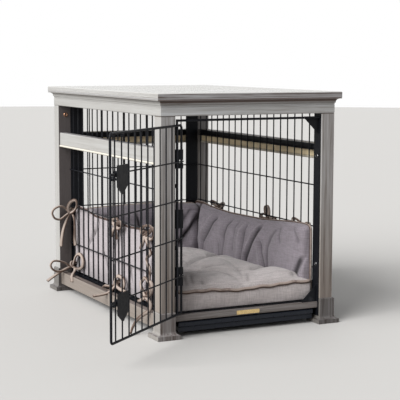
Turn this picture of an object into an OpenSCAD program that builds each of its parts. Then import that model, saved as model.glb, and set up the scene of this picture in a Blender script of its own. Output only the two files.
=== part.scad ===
// Pet crate in the form of an end table: a wooden table frame round a welded wire crate,
// with a swinging front door, two slide bolts, a slide-out tray and tied-in bedding.
// Origin: on the floor, midway between the four feet. The door side faces -Y.

/* [Table] */
// Height of the table top above the floor
table_h = 610; // [580:5:680]
// Width over the posts
frame_w = 497; // [470:1:620]
// Depth over the posts
frame_d = 767; // [700:1:900]
// Side of a square post
post_w = 38; // [34:1:44]
// Thickness of the table top
top_t = 15; // [12:1:22]
// Reach of the table top past the frieze
top_over = 14; // [12:1:20]
// Height of the frieze boards, up to the table top
frieze_h = 41; // [36:1:50]
// Thickness of the frieze boards and of the side and back rails
board_t = 20; // [16:1:22]
// Height of the crown moulding under the table top
crown_h = 14; // [13:0.5:18]
// Radius of the eased edges of posts and rails
ease_r = 1.5; // [1:0.25:3]

/* [Feet] */
// Height of the plinth block round the foot of a post
plinth_h = 67; // [60:1:90]
// How far the plinth block stands proud of the two outer faces of its post
plinth_proud = 4.5; // [3:0.5:5]
// How far the moulded foot spreads past the plinth block
flare_out = 10; // [6:0.5:12]
// Height of the upright band of the moulded foot
flare_band_h = 11; // [8:0.5:14]
// Height at which the moulded foot meets the plinth block
flare_h = 20; // [17:0.5:22]

/* [Rails] */
// Underside of the side and back mid rails
mid_rail_z = 432; // [400:1:440]
// Height of the mid rails
mid_rail_h = 42; // [38:1:50]
// Set-back of the rails from the outer face of the posts
rail_recess = 4; // [2:0.5:7]
// Height of the side and back bottom rails
low_rail_h = 36; // [32:1:44]
// Underside of the front bottom rail, over the tray
front_rail_z = 41; // [40:0.5:44]
// Height of the front bottom rail
front_rail_h = 16; // [14:0.5:20]
// Depth of the front bottom rail, front to back
front_rail_d = 15; // [12:0.5:18]
// Set-back of the front bottom rail from the face of the posts
front_rail_recess = 7; // [5:0.5:8]

/* [Steel] */
// Thickness of the steel strips, angles and ledges
steel_t = 2.5; // [2:0.25:3]
// Diameter of the rods of the door frame and of the front surround
rod_d = 6; // [5:0.5:7]
// Diameter of the panel wires
wire_d = 3.5; // [3:0.25:4]
// Depth by which crossing wires are welded into each other
weld = 0.4; // [0.3:0.05:0.5]
// Distance between the upright wires of the panels
wire_pitch = 38; // [32:1:45]
// Height of the lowest long wire of the side and back panels
panel_wire_z = 144; // [120:1:160]
// Distance between the long wires of the side and back panels
panel_wire_pitch = 110; // [90:1:130]
// Width of the front jamb strips
jamb_w = 30; // [26:1:36]
// Visible width of the back corner uprights
back_upright_w = 40; // [30:1:44]
// Height of the channel bands on the mid rails
band_h = 17; // [14:0.5:20]
// Height of the channel bands above the underside of their rails
band_up = 24; // [20:1:25]
// Width of the ledges that carry the wire floor
ledge_w = 20; // [16:1:26]

/* [Door] */
// Door angle at rest, away from closed
door_open = 140; // [90:1:140]
// Set-back of the door from the face of the posts
door_recess = 9; // [8:0.5:9.5]
// Distance from the hinge axis to the middle of the surround's upright
hinge_reach = 12; // [11:0.5:14]
// Distance between the upright wires of the door
door_wire_pitch = 33.2; // [30:0.1:36]
// Distance between the cross wires of the door
door_cross_pitch = 95.3; // [85:0.1:100]
// Height of the lowest cross wire above the door's bottom rod
door_cross_up = 94; // [80:1:100]
// Gap between the closed door and the rod above it, and twice that to the jamb
door_gap = 5.5; // [4:0.5:7]
// Outer bend radius of the door frame's corners, at the rod's middle
door_corner_r = 8; // [6:0.5:12]
// Height of a hinge plate
hinge_h = 47; // [40:1:52]
// Running clearance round the hinge rod and the bolts
running_gap = 0.3; // [0.2:0.05:0.4]

/* [Latches] */
// Diameter of a slide bolt
bolt_d = 6; // [5:0.5:7]
// Travel of a slide bolt
bolt_travel = 12; // [9:0.5:12]
// Gap between a drawn bolt's tip and the jamb strip
bolt_tip_gap = 4; // [3:0.5:5]
// Width of a latch shield
shield_w = 51; // [46:1:54]
// Height of a latch shield
shield_h = 66; // [58:1:72]

/* [Tray] */
// Set-back of the tray's lip from the face of the posts
tray_recess = 9.5; // [8:0.5:14]
// Underside of the tray above the floor
tray_z = 12.8; // [12.8:0.1:14]
// Height of the tray's front, from its underside
tray_h = 25; // [20:0.5:26]
// Gap on each side between the tray and the steel base
tray_side_gap = 12; // [11:0.5:16]
// Wall thickness of the tray
tray_wall = 1.5; // [1.2:0.1:2.5]

/* [Bedding] */
// Height of the seat cushion's boxing, up to its welt
boxing_h = 45; // [36:1:60]
// Rise of the seat cushion's crown above the welt
crown_rise = 42; // [20:1:55]
// Depth of the sewn tufts in the seat cushion
tuft_depth = 15; // [6:1:24]
// Distance between the rows of tufts, front to back
tuft_pitch = 175; // [120:5:190]
// Distance between the two columns of tufts
tuft_cols = 124; // [90:2:160]
// Thickness of the bolsters
bolster_t = 26; // [20:1:34]
// Height of the bolsters
bolster_h = 189; // [150:1:220]
// Clearance of the bedding to what stands beside it
soft_gap = 0.6; // [0.4:0.1:1.5]
// Width of the fabric ties
tie_w = 7; // [5:0.5:7]

/* [Hidden] */
wood_colour = [0.55, 0.53, 0.50];
steel_colour = [0.10, 0.10, 0.12];
fabric_colour = [0.50, 0.48, 0.50];
tie_colour = [0.72, 0.66, 0.58];
brass_colour = [0.75, 0.60, 0.30];
round_fn = 48;
wire_fn = 24;

// Outer and inner faces of the posts
fx = frame_w / 2;
fy = frame_d / 2;
ix = fx - post_w;
iy = fy - post_w;

// Heights of the table frame
top_z = table_h - top_t;
frieze_z = top_z - frieze_h;
crown_z = top_z - crown_h;
front_rail_top = front_rail_z + front_rail_h;
front_rail_y = -(fy - front_rail_recess);
base_z = flare_h;
base_top = front_rail_top - 1;
board_x = fx - rail_recess - board_t;
board_y = fy - rail_recess - board_t;
bead_d = 6;
bead_out = 2;
frieze_in_x = fx - board_t;
frieze_in_y = fy - board_t;
block_leg = 36;
angle_z = frieze_z + 6;
angle_w = 23.5;
angle_d = 25.5;

// Steel frame inside the posts
strip_x = ix - steel_t;
door_y = -(fy - door_recess);
strip_y0 = -(fy - 4);
strip_y1 = strip_y0 + jamb_w;
upright_x = -(strip_x - 7);
top_bar_z = frieze_z - 11;
side_wire_x = ix - 0.5;
side_wires = floor(2 * iy / wire_pitch);
function side_wire_y(k) = (k - (side_wires - 1) / 2) * wire_pitch;
cross_off = wire_d - weld;
back_wire_y = iy - wire_d / 2;
leg_b_y = board_y - bead_out - 0.5;
band_t = 1.5;
gusset_t = 2;
gusset_y = door_y + rod_d / 2 + 0.5;
gusset_w = 44;
gusset_h = 46;
plate_w = 66;
plate_h = 10;
plate_t = 1.2;
plate_r = 2;

// Door, in its own coordinates: hinge axis at zero, free edge towards +X, inside of the crate +Y
hinge_x = upright_x + hinge_reach;
bolt_past = 18;
door_w = strip_x - bolt_tip_gap - hinge_x - bolt_past;
door_z0 = front_rail_top + 2.5 + rod_d / 2;
door_z1 = top_bar_z - rod_d - door_gap;
cross_y = rod_d / 2 + 0.1;
door_wires = floor(door_w / door_wire_pitch);
door_wire_x0 = (door_w - (door_wires - 1) * door_wire_pitch) / 2;
door_cross_n = floor((door_z1 - door_z0 - 40) / door_cross_pitch);
latch_z = [for (k = [door_cross_n - 1, 0]) door_z0 + door_cross_up + k * door_cross_pitch];
hinge_z = [latch_z[1] - 1, (latch_z[0] + latch_z[1]) / 2, latch_z[0] + 6];
knuckle_r = rod_d / 2 + 1.8;
knuckle_cut = 8;

// Latches
guide_wall = 1.2;
bolt_y = cross_y + wire_d / 2 + bolt_d / 2 + running_gap + guide_wall;
bolt_tip_x = strip_x - bolt_tip_gap - hinge_x;
last_wire_x = door_wire_x0 + (door_wires - 1) * door_wire_pitch;
handle_d = 5;
handle_x = last_wire_x - door_wire_pitch + wire_d / 2 + handle_d / 2 + 10;
guide_l = 7;
guide_x = [handle_x - handle_d / 2 - 1 - guide_l, door_w - 7 - guide_l];
bolt_back_x = guide_x[0] - bolt_travel - 1;
guide_h = 14;
shield_t = 1.5;
shield_y = bolt_y + bolt_d / 2 + running_gap + guide_wall;
handle_drop = 14;
handle_out = 14;
knob_d = 12;
keeper_y = door_y + bolt_y;
keeper_depth = bolt_travel - bolt_tip_gap;

// Tray and its runners
tray_x = strip_x - tray_side_gap;
lip_out = 4;
tray_front_y = -(fy - tray_recess) + lip_out;
runner_end = iy - flare_out - 2;
runner_w = 24;
runner_h = 30;

// Bedding
bed_z = base_top + wire_d + 0.3;
bed_x = side_wire_x - wire_d / 2 - soft_gap;
bed_y1 = back_wire_y - cross_off - wire_d / 2 - soft_gap / 2;
cushion_y0 = -(iy + 7);
bolster_y0 = -(iy - 8);
tie_up = bolster_h - 5;
tie_low = 24;
tie_wires_left = [side_wires - 1, round(0.5 * side_wires) - 1, round(0.17 * side_wires)];
tie_wires_right = [round(0.78 * side_wires), round(0.33 * side_wires), 1];
loop_r = 15;
tie_t = 1.6;
knot_r = 7;
tail_up_l = 86;
tail_low_l = 28;

// Shapes used again and again

// Square bar along Z with eased long edges, from the low corner
module eased_bar(w, d, h, r = ease_r) {
    linear_extrude(height = h) {
        translate([r, 0]) square([w - 2 * r, d]);
        translate([0, r]) square([w, d - 2 * r]);
        for (x = [r, w - r], y = [r, d - r])
            translate([x, y]) circle(r = r, $fn = round_fn);
    }
}

// The same bar along X and along Y
module bar_x(l, d, h) {
    translate([0, 0, h]) rotate([0, 90, 0]) eased_bar(h, d, l);
}

module bar_y(l, w, h) {
    translate([0, l, 0]) rotate([90, 0, 0]) eased_bar(w, h, l);
}

module rod(from, to, d, fn = wire_fn) {
    v = to - from;
    along = norm(v);
    tilt = acos(v[2] / along);
    turn = atan2(v[1], v[0]);
    translate(from) rotate([0, tilt, turn]) cylinder(h = along, d = d, $fn = fn);
}

// Board with 45 degree ends, running along X at the front, its outer face at y = -reach_y
module mitred(half_x, half_y, z0, z1) {
    inner = half_y - 60;
    intersection() {
        children();
        translate([0, 0, z0])
            linear_extrude(height = z1 - z0)
                polygon([[-half_x, -half_y], [half_x, -half_y],
                         [half_x - half_y + inner, -inner], [-half_x + half_y - inner, -inner]]);
    }
}

// Profile of the crown moulding: u outwards from the frieze, v upwards
function crown_profile() =
    let (cove = crown_h - 5, bead = 1.5, u0 = top_over - 3)
    concat(
        [[0, 0], [2, 0], [2, 2]],
        [for (a = [10:10:90]) [u0 - (u0 - 2) * cos(a), 2 + cove * sin(a)]],
        [[u0 + bead, crown_h - 2 * bead]],
        [for (a = [-60:30:90]) [u0 + bead + bead * cos(a), crown_h - bead + bead * sin(a)]],
        [[0, crown_h]]);

// Profile of a frieze board: v upwards, with a fine groove near the crown
function frieze_profile(t, h) =
    [[0, ease_r], [ease_r, 0], [t, 0], [t, h], [0, h], [0, h - crown_h - 4],
     [0.9, h - crown_h - 4.9], [0, h - crown_h - 5.8]];

module crown_run(half_l, half_d) {
    translate([-half_l - top_over, -half_d, crown_z])
        rotate([90, 0, 90])
            linear_extrude(height = 2 * (half_l + top_over))
                polygon([for (p = crown_profile()) [-p[0], p[1]]]);
}

module frieze_run(half_l, half_d) {
    translate([-half_l, -half_d, frieze_z])
        rotate([90, 0, 90])
            linear_extrude(height = 2 * half_l)
                polygon(frieze_profile(board_t, frieze_h));
}

module crown_piece(half_l, half_d) {
    color(wood_colour)
        mitred(half_l + top_over, half_d + top_over, crown_z, top_z) crown_run(half_l, half_d);
}

module frieze_piece(half_l, half_d) {
    color(wood_colour)
        mitred(half_l, half_d, frieze_z, top_z) frieze_run(half_l, half_d);
}

// Rail with a bead along its lower edge, running along X, outer face at y = 0
module beaded_rail(l) {
    r = bead_d / 2;
    rotate([90, 0, 90])
        linear_extrude(height = l) {
            translate([0, r]) square([board_t, mid_rail_h - r - ease_r]);
            translate([ease_r, mid_rail_h - 2 * ease_r]) square([board_t - 2 * ease_r, 2 * ease_r]);
            for (y = [ease_r, board_t - ease_r])
                translate([y, mid_rail_h - ease_r]) circle(r = ease_r, $fn = round_fn);
            translate([r - bead_out, 0]) square([board_t + 2 * bead_out - bead_d, bead_d]);
            for (y = [r - bead_out, board_t + bead_out - r])
                translate([y, r]) circle(r = r, $fn = round_fn);
        }
}

// Channel of thin steel, open towards -Y, its web against y = 0
module channel(l, d) {
    rotate([90, 0, 90])
        linear_extrude(height = l)
            difference() {
                translate([-d, 0]) square([d, band_h]);
                translate([-d - 1, band_t]) square([d + 1 - band_t, band_h - 2 * band_t]);
            }
}

// One foot, seen in the corner where both outer faces look towards +X and +Y
function foot_profile(inner, outer) =
    let (block = outer + plinth_proud, rise = flare_h - flare_band_h)
    concat(
        [[inner - flare_out + 1, 0], [block + flare_out - 1, 0], [block + flare_out, 1]],
        [for (a = [0:15:90])
            [block + flare_out * (1 - sin(a)), flare_h - rise * cos(a)]],
        [[block, plinth_h - 2], [block - 2, plinth_h], [inner, plinth_h]],
        [for (a = [90:-15:0])
            [inner - flare_out * (1 - sin(a)), flare_h - rise * cos(a)]],
        [[inner - flare_out, 1]]);

module foot() {
    reach = 2 * frame_d;
    color(wood_colour)
        intersection() {
            translate([0, reach, 0]) rotate([90, 0, 0])
                linear_extrude(height = 2 * reach) polygon(foot_profile(ix, fx));
            translate([-reach, 0, 0]) rotate([90, 0, 90])
                linear_extrude(height = 2 * reach) polygon(foot_profile(iy, fy));
        }
}

module post() {
    color(wood_colour)
        translate([ix, iy, plinth_h]) eased_bar(post_w, post_w, frieze_z - plinth_h);
}

// Table top and frame

module table_top() {
    r = 2.5;
    lx = fx + top_over;
    ly = fy + top_over;
    profile = function (half)
        concat([[-half + 1, top_z], [half - 1, top_z], [half, top_z + 1]],
               [for (a = [0:15:90]) [half - r + r * cos(a), table_h - r + r * sin(a)]],
               [for (a = [90:15:180]) [-half + r + r * cos(a), table_h - r + r * sin(a)]],
               [[-half, top_z + 1]]);
    color(wood_colour)
        intersection() {
            translate([0, ly + 1, 0]) rotate([90, 0, 0])
                linear_extrude(height = 2 * ly + 2) polygon(profile(lx));
            translate([-lx - 1, 0, 0]) rotate([90, 0, 90])
                linear_extrude(height = 2 * lx + 2) polygon(profile(ly));
        }
}

module crown_front() { crown_piece(fx, fy); }
module crown_back() { rotate([0, 0, 180]) crown_piece(fx, fy); }
module crown_left() { rotate([0, 0, -90]) crown_piece(fy, fx); }
module crown_right() { rotate([0, 0, 90]) crown_piece(fy, fx); }

module frieze_front() { frieze_piece(fx, fy); }
module frieze_back() { rotate([0, 0, 180]) frieze_piece(fx, fy); }
module frieze_left() { rotate([0, 0, -90]) frieze_piece(fy, fx); }
module frieze_right() { rotate([0, 0, 90]) frieze_piece(fy, fx); }

// Glue blocks in the corners of the frieze
module corner_blocks() {
    color(wood_colour)
        for (sx = [0, 1], sy = [0, 1])
            mirror([sx, 0, 0]) mirror([0, sy, 0])
                translate([frieze_in_x, frieze_in_y, frieze_z + 6])
                    linear_extrude(height = top_z - frieze_z - 6)
                        polygon([[0, 0], [-block_leg, 0], [0, -block_leg]]);
}

module post_front_left() { mirror([1, 0, 0]) mirror([0, 1, 0]) post(); }

module post_front_right() {
    color(wood_colour)
        difference() {
            mirror([0, 1, 0]) post();
            for (z = latch_z)
                translate([ix - 1, keeper_y, z]) rotate([0, 90, 0])
                    cylinder(h = keeper_depth + 1, d = bolt_d + 1.6, $fn = round_fn);
        }
}

module post_back_left() { mirror([1, 0, 0]) post(); }
module post_back_right() { post(); }
module foot_front_left() { mirror([1, 0, 0]) mirror([0, 1, 0]) foot(); }
module foot_front_right() { mirror([0, 1, 0]) foot(); }
module foot_back_left() { mirror([1, 0, 0]) foot(); }
module foot_back_right() { foot(); }

// Rails, with their outer faces set back from the posts

module mid_rail_side() {
    color(wood_colour)
        translate([fx - rail_recess, -iy, mid_rail_z]) rotate([0, 0, 90]) beaded_rail(2 * iy);
}

module mid_rail_right() { mid_rail_side(); }
module mid_rail_left() { rotate([0, 0, 180]) mid_rail_side(); }

module mid_rail_back() {
    color(wood_colour)
        translate([ix, fy - rail_recess, mid_rail_z]) rotate([0, 0, 180]) beaded_rail(2 * ix);
}

module bottom_rail_side() {
    color(wood_colour) translate([board_x, -iy, base_z]) bar_y(2 * iy, board_t, low_rail_h);
}

module bottom_rail_right() { bottom_rail_side(); }
module bottom_rail_left() { mirror([1, 0, 0]) bottom_rail_side(); }

module bottom_rail_back() {
    color(wood_colour) translate([-ix, board_y, base_z]) bar_x(2 * ix, board_t, low_rail_h);
}

module bottom_rail_front() {
    color(wood_colour)
        translate([-strip_x, front_rail_y, front_rail_z])
            bar_x(2 * strip_x, front_rail_d, front_rail_h);
}

// Steel frame

module jamb_strip() {
    color(steel_colour)
        translate([strip_x, strip_y0, flare_h]) cube([steel_t, jamb_w, frieze_z - flare_h]);
}

module jamb_strip_left() { mirror([1, 0, 0]) jamb_strip(); }

module jamb_strip_right() {
    color(steel_colour)
        difference() {
            jamb_strip();
            for (z = latch_z)
                translate([strip_x - 1, keeper_y, z]) rotate([0, 90, 0])
                    cylinder(h = steel_t + 2, d = bolt_d + 1.2, $fn = round_fn);
        }
}

// Angle in a back corner: one leg faces the door, the other lies against the post
module back_upright() {
    color(steel_colour)
        translate([0, 0, flare_h]) {
            translate([ix - back_upright_w, iy, 0])
                cube([back_upright_w, steel_t, angle_z - flare_h]);
            translate([strip_x, iy, 0]) cube([steel_t, leg_b_y - iy, angle_z - flare_h]);
        }
}

module back_upright_left() { mirror([1, 0, 0]) back_upright(); }
module back_upright_right() { back_upright(); }

// The side band's web lies on the rail, its flanges reach to just short of the upright wires
module band_side() {
    depth = board_x - side_wire_x - wire_d / 2 - 0.25;
    color(steel_colour)
        translate([board_x, -iy, mid_rail_z + band_up]) rotate([0, 0, 90])
            mirror([0, 1, 0]) channel(2 * iy, depth);
}

module band_right() { band_side(); }
module band_left() { rotate([0, 0, 180]) band_side(); }

module band_back() {
    color(steel_colour)
        translate([-strip_x, board_y, mid_rail_z + band_up])
            channel(2 * strip_x, board_y - iy - steel_t);
}

// Angles under the table top, which the upright wires end in
module top_angles() {
    h = top_z - angle_z;
    ly = frieze_in_y - block_leg;
    lx = frieze_in_x - block_leg;
    color(steel_colour) {
        for (s = [0, 1])
            mirror([s, 0, 0]) {
                translate([frieze_in_x - angle_w, -ly, angle_z]) cube([angle_w, 2 * ly, steel_t]);
                translate([frieze_in_x - steel_t, -ly, angle_z]) cube([steel_t, 2 * ly, h]);
            }
        translate([-lx, frieze_in_y - angle_d, angle_z]) cube([2 * lx, angle_d, steel_t]);
        translate([-lx, frieze_in_y - steel_t, angle_z]) cube([2 * lx, steel_t, h]);
    }
}

module base_bar_right() {
    color(steel_colour)
        translate([strip_x, strip_y1, base_z]) cube([steel_t, iy - strip_y1, base_top - base_z]);
}

module base_bar_left() { mirror([1, 0, 0]) base_bar_right(); }

module base_bar_back() {
    color(steel_colour)
        translate([-strip_x, iy - steel_t, base_z]) cube([2 * strip_x, steel_t, base_top - base_z]);
}

module sill_strip() {
    color(steel_colour)
        translate([-strip_x, front_rail_y + front_rail_d, front_rail_z + 3])
            cube([2 * strip_x, 3, front_rail_h]);
}

module floor_ledges() {
    color(steel_colour)
        for (s = [0, 1])
            mirror([s, 0, 0])
                translate([strip_x - ledge_w, -iy, base_top - steel_t])
                    cube([ledge_w, 2 * iy - steel_t, steel_t]);
}

// Angles that the tray slides on, hung from the base bars
module tray_runners() {
    z = tray_z - 0.3 - steel_t;
    color(steel_colour)
        for (s = [0, 1])
            mirror([s, 0, 0]) {
                translate([strip_x - runner_w, -runner_end, z])
                    cube([runner_w, 2 * runner_end, steel_t]);
                translate([strip_x - steel_t, -runner_end, z])
                    cube([steel_t, 2 * runner_end, runner_h]);
            }
}

// Wire panels

module floor_grid() {
    z = base_top + wire_d / 2;
    long_d = wire_d + 1.5;
    color(steel_colour) {
        for (k = [0:side_wires - 1])
            rod([-bed_x, side_wire_y(k), z], [bed_x, side_wire_y(k), z], wire_d);
        for (x = [-strip_x / 1.4, 0, strip_x / 1.4])
            rod([x, -iy + 4, z - (wire_d + long_d) / 2 + weld],
                [x, iy - 4, z - (wire_d + long_d) / 2 + weld], long_d);
    }
}

// Heights of the long wires, up to the mid rail
panel_wires = [for (k = [0:8]) let (z = panel_wire_z + k * panel_wire_pitch)
    if (z < mid_rail_z - 20) z];

module side_grille() {
    color(steel_colour) {
        for (k = [0:side_wires - 1])
            rod([side_wire_x, side_wire_y(k), base_top], [side_wire_x, side_wire_y(k), angle_z],
                wire_d);
        for (z = panel_wires)
            rod([side_wire_x + cross_off, -iy, z], [side_wire_x + cross_off, iy, z], wire_d);
    }
}

module side_grille_right() { side_grille(); }
module side_grille_left() { mirror([1, 0, 0]) side_grille(); }

module back_grille() {
    n = floor(2 * (ix - back_upright_w) / wire_pitch) + 1;
    color(steel_colour) {
        for (k = [0:n - 1]) {
            x = (k - (n - 1) / 2) * wire_pitch;
            rod([x, back_wire_y, base_top], [x, back_wire_y, angle_z], wire_d);
        }
        for (z = panel_wires)
            rod([-bed_x, back_wire_y - cross_off, z], [bed_x, back_wire_y - cross_off, z], wire_d);
    }
}

// Front surround and hinges

module front_upright() {
    tabs = [(door_z0 + hinge_z[0]) / 2, (hinge_z[0] + hinge_z[1]) / 2,
            (hinge_z[1] + hinge_z[2]) / 2 + 8, top_bar_z - 20];
    color(steel_colour) {
        translate([upright_x, door_y, front_rail_top])
            cylinder(h = top_bar_z + rod_d / 2 - front_rail_top, d = rod_d, $fn = round_fn);
        for (z = tabs)
            translate([-strip_x, door_y - 1.25, z - 5]) cube([upright_x + strip_x, 2.5, 10]);
    }
}

module front_top_bar() {
    color(steel_colour)
        rod([upright_x + rod_d / 2, door_y, top_bar_z], [strip_x, door_y, top_bar_z], rod_d, round_fn);
}

// Corner plates on the latch side, which the closed door stops against
module corner_gussets() {
    color(steel_colour)
        translate([strip_x, gusset_y + gusset_t, 0])
            rotate([90, 0, 0])
                linear_extrude(height = gusset_t) {
                    translate([0, front_rail_top])
                        polygon([[0, 0], [0, gusset_h], [-gusset_w, 3], [-gusset_w, 0]]);
                    translate([0, top_bar_z + rod_d / 2])
                        polygon([[0, 0], [-gusset_w, 0], [-gusset_w, -3], [0, -gusset_h]]);
                }
}

// Plates folded round the surround's upright and the door's hinge rod
module hinge_plates() {
    color(steel_colour)
        for (z = hinge_z)
            difference() {
                translate([0, door_y, z - hinge_h / 2])
                    linear_extrude(height = hinge_h)
                        difference() {
                            union() {
                                translate([upright_x, 0]) circle(r = knuckle_r, $fn = round_fn);
                                translate([hinge_x, 0]) circle(r = knuckle_r, $fn = round_fn);
                                translate([upright_x, -2]) square([hinge_reach, 4]);
                            }
                            translate([upright_x, 0]) circle(d = rod_d, $fn = round_fn);
                            translate([hinge_x, 0])
                                circle(d = rod_d + 2 * running_gap, $fn = round_fn);
                        }
                for (c = latch_z)
                    if (abs(c - z) < hinge_h / 2)
                        translate([hinge_x - knuckle_r - 1.5, door_y - knuckle_r - 1,
                                   c - knuckle_cut / 2])
                            cube([3 * knuckle_r, 2 * knuckle_r + 2, knuckle_cut]);
            }
}

module name_plate_blank() {
    color(brass_colour)
        translate([-plate_w / 2, front_rail_y, front_rail_z + front_rail_h / 2])
            rotate([90, 0, 0])
                linear_extrude(height = plate_t) {
                    translate([plate_r, -plate_h / 2]) square([plate_w - 2 * plate_r, plate_h]);
                    translate([0, plate_r - plate_h / 2]) square([plate_w, plate_h - 2 * plate_r]);
                    for (x = [plate_r, plate_w - plate_r], y = [-1, 1])
                        translate([x, y * (plate_h / 2 - plate_r)])
                            circle(r = plate_r, $fn = round_fn);
                }
}

// Door and latches

module at_door() {
    translate([hinge_x, door_y, 0]) rotate([0, 0, -door_open]) children();
}

module door_corner(x, z, turn) {
    translate([x, 0, z]) rotate([90, turn, 0])
        rotate_extrude(angle = 90, $fn = round_fn)
            translate([door_corner_r, 0]) circle(d = rod_d, $fn = wire_fn);
}

module door_grille() {
    r = door_corner_r;
    color(steel_colour)
        at_door() {
            for (x = [0, door_w])
                rod([x, 0, door_z0 + r], [x, 0, door_z1 - r], rod_d, round_fn);
            for (z = [door_z0, door_z1])
                rod([r, 0, z], [door_w - r, 0, z], rod_d, round_fn);
            door_corner(r, door_z0 + r, 180);
            door_corner(door_w - r, door_z0 + r, 90);
            door_corner(door_w - r, door_z1 - r, 0);
            door_corner(r, door_z1 - r, -90);
            for (k = [0:door_wires - 1]) {
                x = door_wire_x0 + k * door_wire_pitch;
                rod([x, 0, door_z0], [x, 0, door_z1], wire_d);
            }
            for (k = [0:door_cross_n - 1]) {
                z = door_z0 + door_cross_up + k * door_cross_pitch;
                rod([-4, cross_y, z], [door_w + 1, cross_y, z], wire_d);
            }
        }
}

// Shield with a flat top and a rounded point below, and the two guides behind it
module latch_shield(z) {
    up = 20;
    taper = 18;
    tip = 9;
    color(steel_colour)
        at_door() {
            translate([door_w - 4, shield_y + shield_t, z])
                rotate([90, 0, 0])
                    linear_extrude(height = shield_t)
                        polygon(concat(
                            [[-shield_w, up], [-shield_w, up - shield_h + taper]],
                            [for (a = [-150:15:-30])
                                [-shield_w / 2 + tip * cos(a), up - shield_h + tip + tip * sin(a)]],
                            [[0, up - shield_h + taper], [0, up]]));
            for (x = guide_x)
                difference() {
                    translate([x, cross_y + wire_d / 2, z - guide_h / 2])
                        cube([guide_l, shield_y - cross_y - wire_d / 2, guide_h]);
                    translate([x - 1, bolt_y, z]) rotate([0, 90, 0])
                        cylinder(h = guide_l + 2, d = bolt_d + 2 * running_gap, $fn = round_fn);
                }
        }
}

module latch_shield_upper() { latch_shield(latch_z[0]); }
module latch_shield_lower() { latch_shield(latch_z[1]); }

// Slide bolt: a rod in the guides, with an arm through the door to a knob outside
module slide_bolt(z) {
    color(steel_colour)
        at_door() {
            translate([bolt_back_x, bolt_y, z]) rotate([0, 90, 0])
                cylinder(h = bolt_tip_x - bolt_back_x - 1.5, d = bolt_d, $fn = round_fn);
            translate([bolt_tip_x - 1.5, bolt_y, z]) rotate([0, 90, 0])
                cylinder(h = 1.5, d1 = bolt_d, d2 = bolt_d - 2.4, $fn = round_fn);
            rod([handle_x, bolt_y, z], [handle_x, bolt_y, z - handle_drop], handle_d, round_fn);
            rod([handle_x, bolt_y + handle_d / 2, z - handle_drop],
                [handle_x, -handle_out, z - handle_drop], handle_d, round_fn);
            translate([handle_x, -handle_out, z - handle_drop]) sphere(d = knob_d, $fn = round_fn);
        }
}

module bolt_upper() { slide_bolt(latch_z[0]); }
module bolt_lower() { slide_bolt(latch_z[1]); }

// Tray: an open pan with a rolled lip at its front
module tray() {
    top = tray_z + tray_h;
    back = runner_end - 1;
    pan_h = tray_h - 2;
    color(steel_colour) {
        difference() {
            translate([-tray_x, tray_front_y, tray_z])
                cube([2 * tray_x, back - tray_front_y, pan_h]);
            translate([-tray_x + tray_wall, tray_front_y + tray_wall, tray_z + tray_wall])
                cube([2 * (tray_x - tray_wall), back - tray_front_y - 2 * tray_wall, tray_h]);
        }
        translate([-tray_x, tray_front_y, 0])
            rotate([90, 0, 90])
                linear_extrude(height = 2 * tray_x)
                    polygon([[tray_wall, top - 2], [0, top - 14], [-lip_out, top - 11],
                             [-lip_out, top - 2], [-lip_out + 2, top], [tray_wall, top]]);
    }
}

// Bedding

// Rounded rectangle whose sides draw in by bow between the corners, counter-clockwise
function soft_outline(x0, y0, x1, y1, r, bow, nx, ny) =
    let (cx = (x0 + x1) / 2, cy = (y0 + y1) / 2, hx = (x1 - x0) / 2, hy = (y1 - y0) / 2)
    concat(
        [for (k = [0:ny - 1]) let (t = -1 + 2 * k / ny)
            [cx + hx - bow * (1 - t * t), cy + t * (hy - r)]],
        [for (a = [0:22.5:67.5]) [cx + hx - r + r * cos(a), cy + hy - r + r * sin(a)]],
        [for (k = [0:nx - 1]) let (t = 1 - 2 * k / nx)
            [cx + t * (hx - r), cy + hy - bow * (1 - t * t)]],
        [for (a = [90:22.5:157.5]) [cx - hx + r + r * cos(a), cy + hy - r + r * sin(a)]],
        [for (k = [0:ny - 1]) let (t = 1 - 2 * k / ny)
            [cx - hx + bow * (1 - t * t), cy + t * (hy - r)]],
        [for (a = [180:22.5:247.5]) [cx - hx + r + r * cos(a), cy - hy + r + r * sin(a)]],
        [for (k = [0:nx - 1]) let (t = -1 + 2 * k / nx)
            [cx + t * (hx - r), cy - hy + bow * (1 - t * t)]],
        [for (a = [270:22.5:337.5]) [cx + hx - r + r * cos(a), cy - hy + r + r * sin(a)]]);

function outward(pts, i) =
    let (n = len(pts), d = pts[(i + 1) % n] - pts[(i + n - 1) % n], l = norm(d))
    [d[1] / l, -d[0] / l];

// Closed padded form: each layer is [inset, share of the way out from the middle, height, relief]
module padded(outline, middle, layers, relief) {
    n = len(outline);
    m = len(layers);
    rings = [for (layer = layers, i = [0:n - 1])
        let (q = outline[i] - outward(outline, i) * layer[0], p = middle + (q - middle) * layer[1])
        [p[0], p[1], layer[2] - layer[3] * relief(p)]];
    ends = [[middle[0], middle[1], layers[0][2] - layers[0][3] * relief(middle)],
            [middle[0], middle[1], layers[m - 1][2] - layers[m - 1][3] * relief(middle)]];
    sides = [for (k = [0:m - 2], i = [0:n - 1]) let (j = (i + 1) % n, a = k * n, b = a + n)
        each [[a + i, b + j, a + j], [a + i, b + i, b + j]]];
    caps = [for (i = [0:n - 1]) let (j = (i + 1) % n)
        each [[n * m, i, j], [n * m + 1, (m - 1) * n + j, (m - 1) * n + i]]];
    polyhedron(points = concat(rings, ends), faces = concat(sides, caps), convexity = 4);
}

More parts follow.
